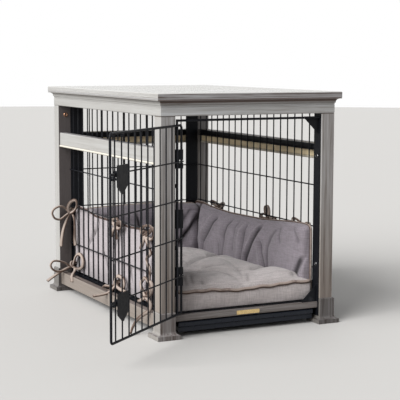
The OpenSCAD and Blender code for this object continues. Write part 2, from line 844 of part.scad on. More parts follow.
module seat_cushion() {
    bx = bed_x - bolster_t - soft_gap;
    by = bed_y1 - bolster_t - soft_gap;
    h = boxing_h;
    c = crown_rise;
    my = (cushion_y0 + by) / 2;
    hy = (by - cushion_y0) / 2;
    rows = [for (k = [-1:1]) my + k * tuft_pitch];
    cols = [-tuft_cols / 2, tuft_cols / 2];
    dome = function (p)
        pow(max(0, (1 - pow(p[0] / bx, 2)) * (1 - pow((p[1] - my) / hy, 2))), 0.55);
    near = function (d, reach) exp(-pow(d / reach, 2));
    pull = function (p)
        0.3 * max([for (y = rows) near(p[1] - y, 26)]) + 0.3 * max([for (x = cols) near(p[0] - x, 26)])
        + 0.7 * max([for (x = cols, y = rows) near(norm(p - [x, y]), 34)]);
    fall = function (p) let (d = dome(p)) c * (1 - d) + tuft_depth * pull(p) * d;
    color(fabric_colour)
        translate([0, 0, bed_z])
            padded(soft_outline(-bx, cushion_y0, bx, by, 22, 3, 8, 16), [0, my],
                concat([[9, 1, 0, 0], [3, 1, 2, 0], [0.5, 1, 0.2 * h, 0], [0, 1, 0.5 * h, 0],
                        [0.5, 1, 0.8 * h, 0], [2, 1, h - 1, 0], [5, 1, h + c, 1],
                        [12, 1, h + c, 1], [22, 1, h + c, 1]],
                       [for (k = [9:-1:1]) [26, k / 10, h + c, 1]]),
                fall);
}

// Upright bolster lying along X, standing on z = 0, its back at y = 0 and its face towards -Y
module bolster(l, channels) {
    t = bolster_t;
    h = bolster_h;
    dip = function (p)
        pow(abs(cos(180 * channels * p[0] / l)), 4) * (1 - pow(2 * p[1] / h - 1, 2));
    color(fabric_colour)
        rotate([90, 0, 0])
            padded(soft_outline(0, 0, l, h, 20, 2, 18, 8), [l / 2, h / 2],
                [[24, 0.5, 0, 0], [24, 1, 0, 0], [10, 1, 0.5, 0], [2.5, 1, 0.2 * t, 0],
                 [0, 1, 0.45 * t, 0], [3, 1, 0.75 * t, 0], [10, 1, 0.92 * t, 1],
                 [24, 1, 0.98 * t, 4], [24, 0.8, t, 4], [24, 0.6, t, 4], [24, 0.4, t, 4],
                 [24, 0.2, t, 4]],
                dip);
}

module bolster_side() {
    translate([bed_x, bed_y1, bed_z]) rotate([0, 0, -90]) bolster(bed_y1 - bolster_y0, 5);
}

module bolster_right() { bolster_side(); }

module bolster_left() { mirror([1, 0, 0]) bolster_side(); }

module bolster_back() {
    l = 2 * (bed_x - bolster_t - soft_gap);
    translate([-l / 2, bed_y1, bed_z]) bolster(l, 3);
}

module tie_loop() {
    difference() {
        cylinder(h = tie_w, r = loop_r, $fn = round_fn);
        translate([0, 0, -1]) cylinder(h = tie_w + 2, r = loop_r - tie_t, $fn = round_fn);
    }
}

// Fabric tie round a wire, tied in a bow outside it: a knot, a loop that lies along the
// panel, a loop that stands out from it, and two tails
module bow(tail_l) {
    face = soft_gap - wire_d / 2;
    loop_x = cross_off + wire_d / 2 + 0.4;
    difference() {
        translate([face, 0, 0]) rotate([0, 90, 0])
            cylinder(h = loop_x + tie_w - face, r = knot_r, $fn = round_fn);
        translate([0, 0, -knot_r - 1])
            cylinder(h = 2 * knot_r + 2, d = wire_d + 0.5, $fn = wire_fn);
    }
    translate([loop_x, -(knot_r + loop_r - 3), 5]) rotate([0, 90, 0]) tie_loop();
    translate([loop_x + tie_w + loop_r - 3, tie_w / 2, 2]) rotate([90, 0, 0]) tie_loop();
    for (s = [-1, 1])
        translate([loop_x, 0, -knot_r / 2]) rotate([9 * s, 0, 0])
            translate([0, s * 2 - tie_w / 2, -tail_l]) cube([tie_t, tie_w, tail_l]);
}

module ties(wires) {
    color(tie_colour)
        for (k = wires, z = [tie_up, tie_low])
            translate([side_wire_x, side_wire_y(k), bed_z + z]) bow(z == tie_up ? tail_up_l : tail_low_l);
}

module ties_right() { ties(tie_wires_right); }
module ties_left() { mirror([1, 0, 0]) ties(tie_wires_left); }

table_top();
crown_front();
crown_back();
crown_left();
crown_right();
frieze_front();
frieze_back();
frieze_left();
frieze_right();
corner_blocks();
post_front_left();
post_front_right();
post_back_left();
post_back_right();
foot_front_left();
foot_front_right();
foot_back_left();
foot_back_right();
mid_rail_left();
mid_rail_right();
mid_rail_back();
bottom_rail_front();
bottom_rail_back();
bottom_rail_left();
bottom_rail_right();
jamb_strip_left();
jamb_strip_right();
back_upright_left();
back_upright_right();
band_left();
band_right();
band_back();
top_angles();
base_bar_left();
base_bar_right();
base_bar_back();
sill_strip();
floor_ledges();
tray_runners();
floor_grid();
side_grille_left();
side_grille_right();
back_grille();
front_upright();
front_top_bar();
corner_gussets();
hinge_plates();
name_plate_blank();
seat_cushion();
bolster_left();
bolster_right();
bolster_back();
ties_left();
ties_right();
door_grille();
latch_shield_upper();
latch_shield_lower();
bolt_upper();
bolt_lower();
tray();
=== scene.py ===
"""Dresses the pet crate: weathered wood, black steel, brass, and bedding tied in with bows."""
import math

import bmesh
import bpy
import numpy as np
from bpy.props import FloatProperty, FloatVectorProperty, IntProperty, PointerProperty
from bpy.types import Operator, Panel, PropertyGroup
from mathutils import Matrix, Vector
from mathutils.bvhtree import BVHTree


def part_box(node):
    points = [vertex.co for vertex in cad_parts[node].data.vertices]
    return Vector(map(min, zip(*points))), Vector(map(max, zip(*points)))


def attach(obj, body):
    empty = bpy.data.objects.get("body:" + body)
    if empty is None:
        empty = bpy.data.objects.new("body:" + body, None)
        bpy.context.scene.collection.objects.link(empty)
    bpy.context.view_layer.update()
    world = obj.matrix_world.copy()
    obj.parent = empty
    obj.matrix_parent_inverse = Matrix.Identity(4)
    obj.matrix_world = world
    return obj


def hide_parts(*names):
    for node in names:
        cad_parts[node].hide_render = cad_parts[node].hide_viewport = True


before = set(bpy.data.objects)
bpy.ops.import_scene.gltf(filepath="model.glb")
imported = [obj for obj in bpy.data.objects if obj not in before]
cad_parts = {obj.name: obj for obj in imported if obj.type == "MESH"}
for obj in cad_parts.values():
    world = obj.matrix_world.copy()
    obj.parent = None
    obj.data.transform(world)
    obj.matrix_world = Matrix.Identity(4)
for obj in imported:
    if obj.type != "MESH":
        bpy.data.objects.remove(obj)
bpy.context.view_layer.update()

bl_info = {
    "name": "Pet Crate",
    "version": (1, 0, 0),
    "blender": (4, 5, 0),
    "location": "3D View > Sidebar > Crate",
    "description": "Dresses a table-shaped pet crate in wood, steel, brass and bedding",
    "category": "Object",
}

MM = 0.001
X, Y, Z = 0, 1, 2


def tone(red, green, blue):
    """Linear colour of a colour that is given as seen, from 0 to 255."""
    def linear(value):
        share = value / 255
        return share / 12.92 if share <= 0.04045 else ((share + 0.055) / 1.055) ** 2.4
    return (linear(red), linear(green), linear(blue))


def colour_setting(name, description, default):
    return FloatVectorProperty(name=name, description=description, default=default,
                               subtype="COLOR", size=3, min=0.0, max=1.0)


def length_setting(name, description, default, low, high):
    return FloatProperty(name=name, description=description, default=default,
                         min=low, max=high, unit="LENGTH", precision=4)


def share_setting(name, description, default, low=0.0, high=1.0):
    return FloatProperty(name=name, description=description, default=default,
                         min=low, max=high, subtype="FACTOR")


class StageSettings(PropertyGroup):
    """Camera, lamps and floor."""

    eye: FloatVectorProperty(name="Eye", description="Place of the camera", size=3,
                             default=(-1.48747, -3.10010, 0.69882), subtype="XYZ", unit="LENGTH")
    heading: FloatProperty(name="Heading", description="Turn of the view to the right of +Y",
                           default=math.radians(26.35), subtype="ANGLE")
    tilt: FloatProperty(name="Tilt", description="Fall of the view below level",
                        default=math.radians(6.655), subtype="ANGLE")
    roll: FloatProperty(name="Roll", description="Turn of the picture about the line of view",
                        default=math.radians(0.155), subtype="ANGLE")
    lens: FloatProperty(name="Lens", description="Focal length on a 36 mm square sensor",
                        default=110.57, min=20.0, max=300.0, subtype="DISTANCE_CAMERA")
    key_strength: FloatProperty(name="Key strength", description="Strength of the window light",
                                default=5.8, min=0.0, max=12.0)
    key_height: FloatProperty(name="Key height", description="Height of the window light",
                              default=math.radians(34), subtype="ANGLE")
    key_side: FloatProperty(name="Key side", description="Turn of the window light to the front",
                            default=math.radians(16), subtype="ANGLE")
    key_spread: FloatProperty(name="Key spread", description="Apparent width of the window light",
                              default=math.radians(50), subtype="ANGLE")
    sky_strength: share_setting("Sky strength", "Light that comes from all round", 0.46)
    floor_colour: colour_setting("Floor", "Colour of the pale floor", (0.47, 0.465, 0.455))
    floor_bounce: colour_setting("Floor bounce", "Light that the floor sends back",
                                 (0.17, 0.145, 0.125))


class WoodSettings(PropertyGroup):
    """Stain and grain of the wood."""

    pale: colour_setting("Pale", "Pale wash on the raised grain", tone(160, 161, 164))
    stain: colour_setting("Stain", "Grey stain between pale and dark", tone(131, 129, 130))
    dark: colour_setting("Dark", "Brown stain that stays in the grain", tone(68, 55, 48))
    # Painted sheen: the wash also covers the faces towards either side, even and pale
    wash: colour_setting("Wash", "Even wash on the sides", tone(160, 160, 157))
    # Brown painted shade in the hollow of the mouldings
    hollow_shade: colour_setting("Glaze", "Brown glaze in the hollow of the mouldings", tone(80, 62, 54))
    raw: colour_setting("Raw", "Bare wood on the rails' inner faces", tone(245, 228, 190))
    # The bead colour is a painted highlight along the rails' bottom bead
    bead_highlight: colour_setting("Bead", "Cream tone of the beads", tone(198, 194, 182))
    # The shade colour is painted shade on the back left post's front face, which sits behind the
    # left panel
    shade: colour_setting("Shade", "Dark stain on the face behind the left panel", tone(76, 71, 71))
    top: colour_setting("Top", "Wash on the table top's upper face", tone(172, 172, 170))
    grain: length_setting("Grain", "Distance between the streaks of the grain", 0.0052, 0.002, 0.02)


class SteelSettings(PropertyGroup):
    """Coating of the steel, and the small metal fittings."""

    coat: colour_setting("Coat", "Black coating of the steel", (0.0058, 0.0064, 0.0086))
    navy: colour_setting("Navy", "Dark blue coating of the tray", (0.0080, 0.0105, 0.0170))
    rub: colour_setting("Rub", "Tone where the coating is rubbed", (0.026, 0.027, 0.031))
    brass: colour_setting("Brass", "Polished brass", (0.80, 0.60, 0.30))
    copper: colour_setting("Copper", "Dull copper of the eyelet", (0.36, 0.20, 0.13))
    nickel: colour_setting("Nickel", "Bare metal of the keepers", (0.20, 0.20, 0.21))
    keeper_r: length_setting("Keeper radius", "Outer radius of a keeper ring", 0.0052, 0.004, 0.009)
    eyelet_r: length_setting("Eyelet radius", "Outer radius of the eyelet", 0.0066, 0.004, 0.01)


class BeddingSettings(PropertyGroup):
    """Shapes and colours of the seat cushion and the bolsters."""

    linen: colour_setting("Linen", "Colour of the bolsters' cloth", tone(127, 121, 128))
    # Paler copy of the linen for the left bolster, which faces the light: painted light
    linen_lit: colour_setting("Pale linen", "Colour of the left bolster's cloth",
                               tone(152, 146, 149))
    seat: colour_setting("Seat", "Colour of the seat", tone(174, 168, 168))
    # The piping's pale top, where it faces up and to the front, is a painted highlight, and its
    # brown below painted shade
    piping: colour_setting("Piping", "Brown of the piping", tone(78, 64, 59))
    piping_lit: colour_setting("Pale piping", "Top of the piping", tone(152, 139, 132))
    crown: length_setting("Crown", "Rise of the seat above its welt", 0.039, 0.02, 0.055)
    tuft: length_setting("Tuft", "Depth of a sewn tuft", 0.019, 0.005, 0.03)
    bulge: length_setting("Bulge", "Swell of the boxing", 0.003, 0.0, 0.006)
    ear: length_setting("Ear", "Reach of the seat's front past its sides", 0.0225, 0.0, 0.024)
    welt_r: length_setting("Welt radius", "Radius of the piping", 0.0042, 0.0015, 0.006)
    even: length_setting("Mesh step", "Step of the seat's even mesh", 0.0055, 0.004, 0.006)
    fine: length_setting("Fine mesh step", "Step of the bolsters' even mesh", 0.0047, 0.004, 0.006)
    pressure: FloatProperty(name="Pressure", description="Filling pressure of the pads",
                            default=4.0, min=0.0, max=10.0)
    swell: length_setting("Swell", "Most that the filling moves a point", 0.006, 0.0, 0.016)


class TieSettings(PropertyGroup):
    """Tapes that tie the bedding to the wires."""

    width: length_setting("Width", "Width of the tape", 0.0102, 0.004, 0.014)
    thickness: length_setting("Thickness", "Thickness of the tape", 0.0062, 0.0008, 0.008)
    cloth: colour_setting("Cloth", "Middle of the tape", tone(152, 140, 132))
    edge: colour_setting("Edge", "Edges of the tape", tone(84, 68, 60))
    steps: IntProperty(name="Steps", description="Steps between two points of a tape's route",
                       default=8, min=2, max=16)


SETTINGS = {
    "crate_stage": StageSettings,
    "crate_wood": WoodSettings,
    "crate_steel": SteelSettings,
    "crate_bedding": BeddingSettings,
    "crate_ties": TieSettings,
}


def select_only(obj):
    bpy.ops.object.select_all(action="DESELECT")
    obj.select_set(True)
    bpy.context.view_layer.objects.active = obj


def link_object(name, data):
    """Puts new data into the scene as an object, selected by itself."""
    obj = bpy.data.objects.new(name, data)
    bpy.context.scene.collection.objects.link(obj)
    select_only(obj)
    return obj


def object_from(name, mesh):
    """Turns a finished bmesh into an object."""
    data = bpy.data.meshes.new(name)
    mesh.to_mesh(data)
    mesh.free()
    return link_object(name, data)


def bake_place(obj):
    """Puts the object's place, turn and scale into its mesh."""
    select_only(obj)
    bpy.ops.object.transform_apply(location=True, rotation=True, scale=True)


def apply_modifier(obj, kind, name, **settings):
    """Adds a modifier, sets it and applies it."""
    select_only(obj)
    modifier = obj.modifiers.new(name, kind)
    for key, value in settings.items():
        setattr(modifier, key, value)
    bpy.ops.object.modifier_apply(modifier=modifier.name)


def points_of(obj):
    flat = np.empty(len(obj.data.vertices) * 3)
    obj.data.vertices.foreach_get("co", flat)
    return flat.reshape(-1, 3)


def normals_of(obj):
    flat = np.empty(len(obj.data.vertices) * 3)
    obj.data.vertex_normals.foreach_get("vector", flat)
    return flat.reshape(-1, 3)


def move_points(obj, points):
    obj.data.vertices.foreach_set("co", points.astype(np.float32).ravel())
    obj.data.update()


def finish_piece(obj, body, slot, material, *nodes):
    """Gives a piece its material and body, and hides the nodes that it stands for."""
    obj.data.materials.clear()
    obj.data.materials.append(material)
    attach(obj, body)
    if nodes:
        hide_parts(*nodes)


# Materials

def start_material(name, colour, roughness, specular):
    """New material with its shader's even values set on the shader itself."""
    material = bpy.data.materials.new(name)
    material.use_nodes = True
    material.diffuse_color = (*colour, 1.0)
    shader = material.node_tree.nodes["Principled BSDF"]
    shader.inputs["Roughness"].default_value = roughness
    shader.inputs["Specular IOR Level"].default_value = specular
    shader.inputs["Base Color"].default_value = (*colour, 1.0)
    return material, material.node_tree, shader


def add_node(tree, kind, inputs, **settings):
    """Adds a node, sets its choices, and sets or links its inputs."""
    node = tree.nodes.new(kind)
    for key, value in settings.items():
        setattr(node, key, value)
    for key, value in inputs.items():
        if isinstance(value, bpy.types.NodeSocket):
            tree.links.new(value, node.inputs[key])
        else:
            node.inputs[key].default_value = value
    return node


def object_place(tree):
    return add_node(tree, "ShaderNodeTexCoord", {}).outputs["Object"]


def stretched(tree, place, scale):
    return add_node(tree, "ShaderNodeMapping", {"Vector": place, "Scale": scale}).outputs[0]


def speckle(tree, place, scale, detail=3.0, roughness=0.55, distortion=0.0):
    return add_node(tree, "ShaderNodeTexNoise",
                    {"Vector": place, "Scale": scale, "Detail": detail,
                     "Roughness": roughness, "Distortion": distortion}).outputs[0]


def band(tree, value, low, high, to_low=0.0, to_high=1.0):
    """Maps a value from one range to another, clamped and smooth."""
    return add_node(tree, "ShaderNodeMapRange",
                    {"Value": value, "From Min": low, "From Max": high,
                     "To Min": to_low, "To Max": to_high},
                    interpolation_type="SMOOTHSTEP").outputs["Result"]


def blend_colour(tree, share, first, second, how="MIX"):
    """Mixes two colours by a share; each may be a colour or a socket."""
    node = tree.nodes.new("ShaderNodeMix")
    node.data_type = "RGBA"
    node.blend_type = how
    for key, value in ((0, share), (6, first), (7, second)):
        if isinstance(value, bpy.types.NodeSocket):
            tree.links.new(value, node.inputs[key])
        elif key:
            node.inputs[key].default_value = (*value, 1.0)
        else:
            node.inputs[key].default_value = value
    return node.outputs[2]


def blend_vector(tree, share, first, second):
    """Mixes two places by a share."""
    node = tree.nodes.new("ShaderNodeMix")
    node.data_type = "VECTOR"
    for key, value in ((0, share), (4, first), (5, second)):
        tree.links.new(value, node.inputs[key])
    return node.outputs[1]


def tinted(tree, colour, tint):
    return blend_colour(tree, 1.0, colour, tint, "MULTIPLY")


def arithmetic(tree, operation, first, second=0.0):
    return add_node(tree, "ShaderNodeMath", {0: first, 1: second}, operation=operation).outputs[0]


def times(tree, first, second):
    return arithmetic(tree, "MULTIPLY", first, second)


def larger(tree, first, second):
    return arithmetic(tree, "MAXIMUM", first, second)


def seen_by(tree, *rays):
    """1 for the named kinds of ray, and 0 for the others."""
    path = add_node(tree, "ShaderNodeLightPath", {})
    share = path.outputs[rays[0]]
    for ray in rays[1:]:
        share = larger(tree, share, path.outputs[ray])
    return share


def raise_surface(tree, shader, height, strength, distance):
    bump = add_node(tree, "ShaderNodeBump",
                    {"Height": height, "Strength": strength, "Distance": distance})
    tree.links.new(bump.outputs[0], shader.inputs["Normal"])


def facing(tree, direction):
    """Share, from 0 to 1, by which the surface faces a direction."""
    normal = add_node(tree, "ShaderNodeNewGeometry", {}).outputs["True Normal"]
    turn = add_node(tree, "ShaderNodeVectorMath", {0: normal, 1: direction},
                    operation="DOT_PRODUCT").outputs["Value"]
    return band(tree, turn, 0.4, 0.7)


def facing_either(tree, axis):
    """Share by which the surface faces either way along an axis."""
    ahead = [0.0, 0.0, 0.0]
    ahead[axis] = 1.0
    return larger(tree, facing(tree, [-part for part in ahead]), facing(tree, ahead))


def along_grain(tree, place, grain, share):
    """Place squeezed along the grain, so that a pattern is drawn out along it."""
    scale = [1.0, 1.0, 1.0]
    scale[grain] = share
    return stretched(tree, place, scale)


# Scales along the grain that draw out the streaks and the pores
DRAWN_OUT = (0.030, 0.011)
# Share of painted sheen, an even pale wash, on the faces towards either side
SIDE_SHEEN = 0.78
# Heights at which the painted shade towards the floor is full and at which it has gone
FLOOR_SHADE_HEIGHTS = (0.02, 0.46)
# Half the blur at the edges of a painted line
LINE_BLUR = 0.0004


def grain_places(tree, place, grain, end_grain):
    """Places drawn out along the grain, first for the streaks and then for the pores."""
    places = [along_grain(tree, place, grain, share) for share in DRAWN_OUT]
    if end_grain is None:
        return places
    turned = facing_either(tree, Y)
    return [blend_vector(tree, turned, straight, along_grain(tree, place, end_grain, share))
            for straight, share in zip(places, DRAWN_OUT)]


def stained(tree, wood, streaks, fibres, pores, clouds):
    """Stain and pale wash on the grain, with dark pores."""
    colour = blend_colour(tree, band(tree, streaks, 0.34, 0.50), wood.dark, wood.stain)
    colour = blend_colour(tree, band(tree, streaks, 0.50, 0.66), colour, wood.pale)
    colour = blend_colour(tree, times(tree, pores, 0.62), colour, wood.dark)
    fibrous = blend_colour(tree, fibres, (0.74, 0.73, 0.72), (1.24, 1.24, 1.24))
    cloudy = blend_colour(tree, clouds, (0.90, 0.89, 0.88), (1.08, 1.09, 1.10))
    return tinted(tree, tinted(tree, colour, fibrous), cloudy)


def lined(tree, colour, height, lines):
    """Level lines painted between two heights."""
    for low, high, paint, share in lines:
        above = band(tree, height, low - LINE_BLUR, low + LINE_BLUR)
        below = band(tree, height, high - LINE_BLUR, high + LINE_BLUR, 1.0, 0.0)
        colour = blend_colour(tree, times(tree, times(tree, above, below), share), colour, paint)
    return colour


def weathered_wood(name, wood, grain, faces=(), lines=(), tint=None, seed=0.0, end_grain=None,
                   gloss=0.5, calm=0.0, worn=None):
    """Wood in a grey wash, with its grain along one axis. Each of faces is a direction and a colour
    for what faces it, each of lines a low and a high end, a colour and a share, and end_grain
    is the axis of the grain where the surface faces +Y or -Y. calm is how far an even wash hides
    the grain, and the last argument is the tint that the wood takes towards the floor, as painted
    shade."""
    material, tree, shader = start_material(name, tuple(wood.stain), gloss, 0.5)
    place = add_node(tree, "ShaderNodeMapping",
                     {"Vector": object_place(tree),
                      "Location": (seed, 2 * seed, 3 * seed)}).outputs[0]
    long, longer = grain_places(tree, place, grain, end_grain)
    per_metre = 1 / wood.grain
    streaks = speckle(tree, long, 0.6 * per_metre, 5.0, 0.68, 0.25)
    fibres = speckle(tree, long, 3.4 * per_metre, 2.0)
    pores = band(tree, speckle(tree, longer, 1.9 * per_metre, 3.0, 0.65), 0.55, 0.68)
    colour = stained(tree, wood, streaks, fibres, pores, speckle(tree, place, 6.0, 2.0))
    colour = blend_colour(tree, calm, colour, wood.wash)
    # Painted sheen: the faces towards either side are painted over with the even pale wash
    side_sheen = times(tree, facing_either(tree, X), SIDE_SHEEN)
    colour = blend_colour(tree, side_sheen, colour, wood.wash)
    if tint:
        colour = tinted(tree, colour, tint)
    height = add_node(tree, "ShaderNodeSeparateXYZ", {0: object_place(tree)}).outputs[Z]
    # Painted shade: the wood is tinted darker towards the floor
    if worn:
        unshaded = band(tree, height, *FLOOR_SHADE_HEIGHTS)
        colour = tinted(tree, colour, blend_colour(tree, unshaded, worn, (1.0, 1.0, 1.0)))
    for direction, paint in faces:
        grained = blend_colour(tree, streaks, (0.78, 0.77, 0.75), (1.18, 1.18, 1.18))
        colour = blend_colour(tree, facing(tree, direction), colour, tinted(tree, grained, paint))
    tree.links.new(lined(tree, colour, height, lines), shader.inputs["Base Color"])
    tree.links.new(band(tree, fibres, 0.3, 0.7, gloss - 0.08, gloss + 0.10),
                   shader.inputs["Roughness"])
    relief = arithmetic(tree, "SUBTRACT", arithmetic(tree, "ADD", streaks, fibres), pores)
    raise_surface(tree, shader, relief, 0.4, 0.0005)
    return material


def coated_steel(name, steel, coat, roughness=0.42, shine=0.13):
    """Coated steel with a faint orange-peel surface and a few rubbed places."""
    material, tree, shader = start_material(name, tuple(coat), roughness, shine)
    place = object_place(tree)
    rubbed = band(tree, speckle(tree, place, 45.0, 4.0), 0.60, 0.78)
    colour = blend_colour(tree, rubbed, coat, steel.rub)
    tree.links.new(colour, shader.inputs["Base Color"])
    tree.links.new(band(tree, speckle(tree, place, 120.0), 0.3, 0.7, roughness - 0.08,
                        roughness + 0.10), shader.inputs["Roughness"])
    raise_surface(tree, shader, speckle(tree, place, 900.0, 2.0), 0.25, 0.0002)
    return material


def brushed_metal(name, colour, roughness, direction):
    """Bare metal with fine brush lines along one axis."""
    material, tree, shader = start_material(name, tuple(colour), roughness, 0.5)
    shader.inputs["Metallic"].default_value = 1.0
    lines = speckle(tree, along_grain(tree, object_place(tree), direction, 0.03), 2600.0, 2.0)
    spots = speckle(tree, object_place(tree), 160.0, 3.0)
    worn = blend_colour(tree, spots, (0.72, 0.70, 0.66), (1.12, 1.12, 1.12))
    tree.links.new(tinted(tree, colour, worn), shader.inputs["Base Color"])
    tree.links.new(band(tree, lines, 0.25, 0.75, roughness - 0.08, roughness + 0.12),
                   shader.inputs["Roughness"])
    raise_surface(tree, shader, lines, 0.15, 0.0001)
    return material


def woven_cloth(name, colour, thread=0.0011, fleck=0.16, sheen=0.25):
    """Plain-woven cloth: threads along three axes, slubs, and a soft sheen. It is darker where the
    piece's fold attribute is high: painted shade in its folds, creases and tufts."""
    material, tree, shader = start_material(name, tuple(colour), 0.88, 0.18)
    shader.inputs["Sheen Weight"].default_value = sheen
    shader.inputs["Sheen Roughness"].default_value = 0.5
    place = object_place(tree)
    threads = None
    for axis in (X, Y, Z):
        part = add_node(tree, "ShaderNodeSeparateXYZ", {0: place}).outputs[axis]
        wave = arithmetic(tree, "SINE", times(tree, part, 2 * math.pi / thread))
        threads = wave if threads is None else arithmetic(tree, "ADD", threads, wave)
    slubs_up = speckle(tree, stretched(tree, place, (1.0, 1.0, 0.08)), 420.0, 3.0)
    slubs_across = speckle(tree, stretched(tree, place, (0.08, 0.08, 1.0)), 420.0, 3.0)
    slubs = times(tree, arithmetic(tree, "ADD", slubs_up, slubs_across), 0.5)
    stains = speckle(tree, place, 16.0, 3.0)
    flecks = blend_colour(tree, band(tree, slubs, 0.36, 0.64), (1 - fleck,) * 3, (1 + fleck,) * 3)
    wear = blend_colour(tree, stains, (0.93, 0.92, 0.92), (1.06, 1.06, 1.06))
    cloth = tinted(tree, tinted(tree, colour, flecks), wear)
    # Painted shade in the folds, creases and tufts, stored on the piece
    fold = add_node(tree, "ShaderNodeAttribute", {}, attribute_name="fold").outputs["Fac"]
    cloth = blend_colour(tree, fold, cloth, tuple(0.16 * part for part in colour))
    tree.links.new(cloth, shader.inputs["Base Color"])
    height = arithmetic(tree, "ADD", times(tree, threads, 0.22), slubs)
    raise_surface(tree, shader, height, 0.5, 0.0004)
    return material


def piping_cloth(name, bedding, pale):
    """Cloth of the covered cords: pale where it faces up and to the front as a painted highlight,
    brown below as painted shade.
    """
    material, tree, shader = start_material(name, tuple(bedding.piping), 0.85, 0.2)
    place = object_place(tree)
    blotch = speckle(tree, place, 55.0, 3.0)
    upward = larger(tree, facing(tree, (0.0, 0.1, 1.0)), facing(tree, (0.0, -0.8, 0.6)))
    share = times(tree, upward, band(tree, blotch, 0.25, 0.55, 0.35, 1.0))
    colour = blend_colour(tree, share, bedding.piping, pale)
    tint = blend_colour(tree, speckle(tree, place, 700.0), (0.78,) * 3, (1.16,) * 3)
    tree.links.new(tinted(tree, colour, tint), shader.inputs["Base Color"])
    raise_surface(tree, shader, speckle(tree, place, 900.0), 0.5, 0.0003)
    return material


def tape_cloth(name, ties):
    """Twill tape with darker selvedges: the piece's own map runs along and across it."""
    material, tree, shader = start_material(name, tuple(ties.cloth), 0.85, 0.2)
    across = add_node(tree, "ShaderNodeSeparateXYZ",
                      {0: add_node(tree, "ShaderNodeTexCoord", {}).outputs["UV"]})
    middle = arithmetic(tree, "ABSOLUTE", arithmetic(tree, "SUBTRACT", across.outputs[Y], 0.5))
    selvedge = band(tree, middle, 0.26, 0.42)
    blotch = speckle(tree, object_place(tree), 60.0, 3.0)
    edges = times(tree, selvedge, band(tree, blotch, 0.2, 0.6, 0.55, 1.0))
    colour = blend_colour(tree, edges, ties.cloth, ties.edge)
    tint = blend_colour(tree, speckle(tree, object_place(tree), 500.0), (0.80,) * 3, (1.12,) * 3)
    tree.links.new(tinted(tree, colour, tint), shader.inputs["Base Color"])
    slant = arithmetic(tree, "ADD", across.outputs[X], across.outputs[Y])
    raise_surface(tree, shader, arithmetic(tree, "SINE", times(tree, slant, 22.0)), 0.4, 0.0002)
    return material


# Wood, steel and brass on the pieces that the frame brings

POSTS = ("post_front_left", "post_front_right", "post_back_right")
NEAR_FOOT = ("foot_front_left",)
OTHER_FEET = ("foot_front_right", "foot_back_left", "foot_back_right")
WIDE_WOOD = ("frieze_front", "frieze_back", "corner_blocks")
DEEP_WOOD = ("frieze_left", "frieze_right")
STEEL = ("jamb_strip_left", "jamb_strip_right", "back_upright_left", "back_upright_right",
         "band_left", "band_right", "band_back", "top_angles", "base_bar_left", "base_bar_right",
         "base_bar_back", "sill_strip", "floor_ledges", "tray_runners", "floor_grid",
         "side_grille_left", "side_grille_right", "back_grille", "front_upright",
         "front_top_bar", "corner_gussets", "hinge_plates")
LATCH_STEEL = ("door_grille", "latch_shield_upper", "latch_shield_lower", "bolt_upper",
               "bolt_lower")


def paint(names, slot, material):
    """Gives the frame's own pieces a material."""
    for name in names:
        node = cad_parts[name]
        node.data.materials.clear()
        node.data.materials.append(material)


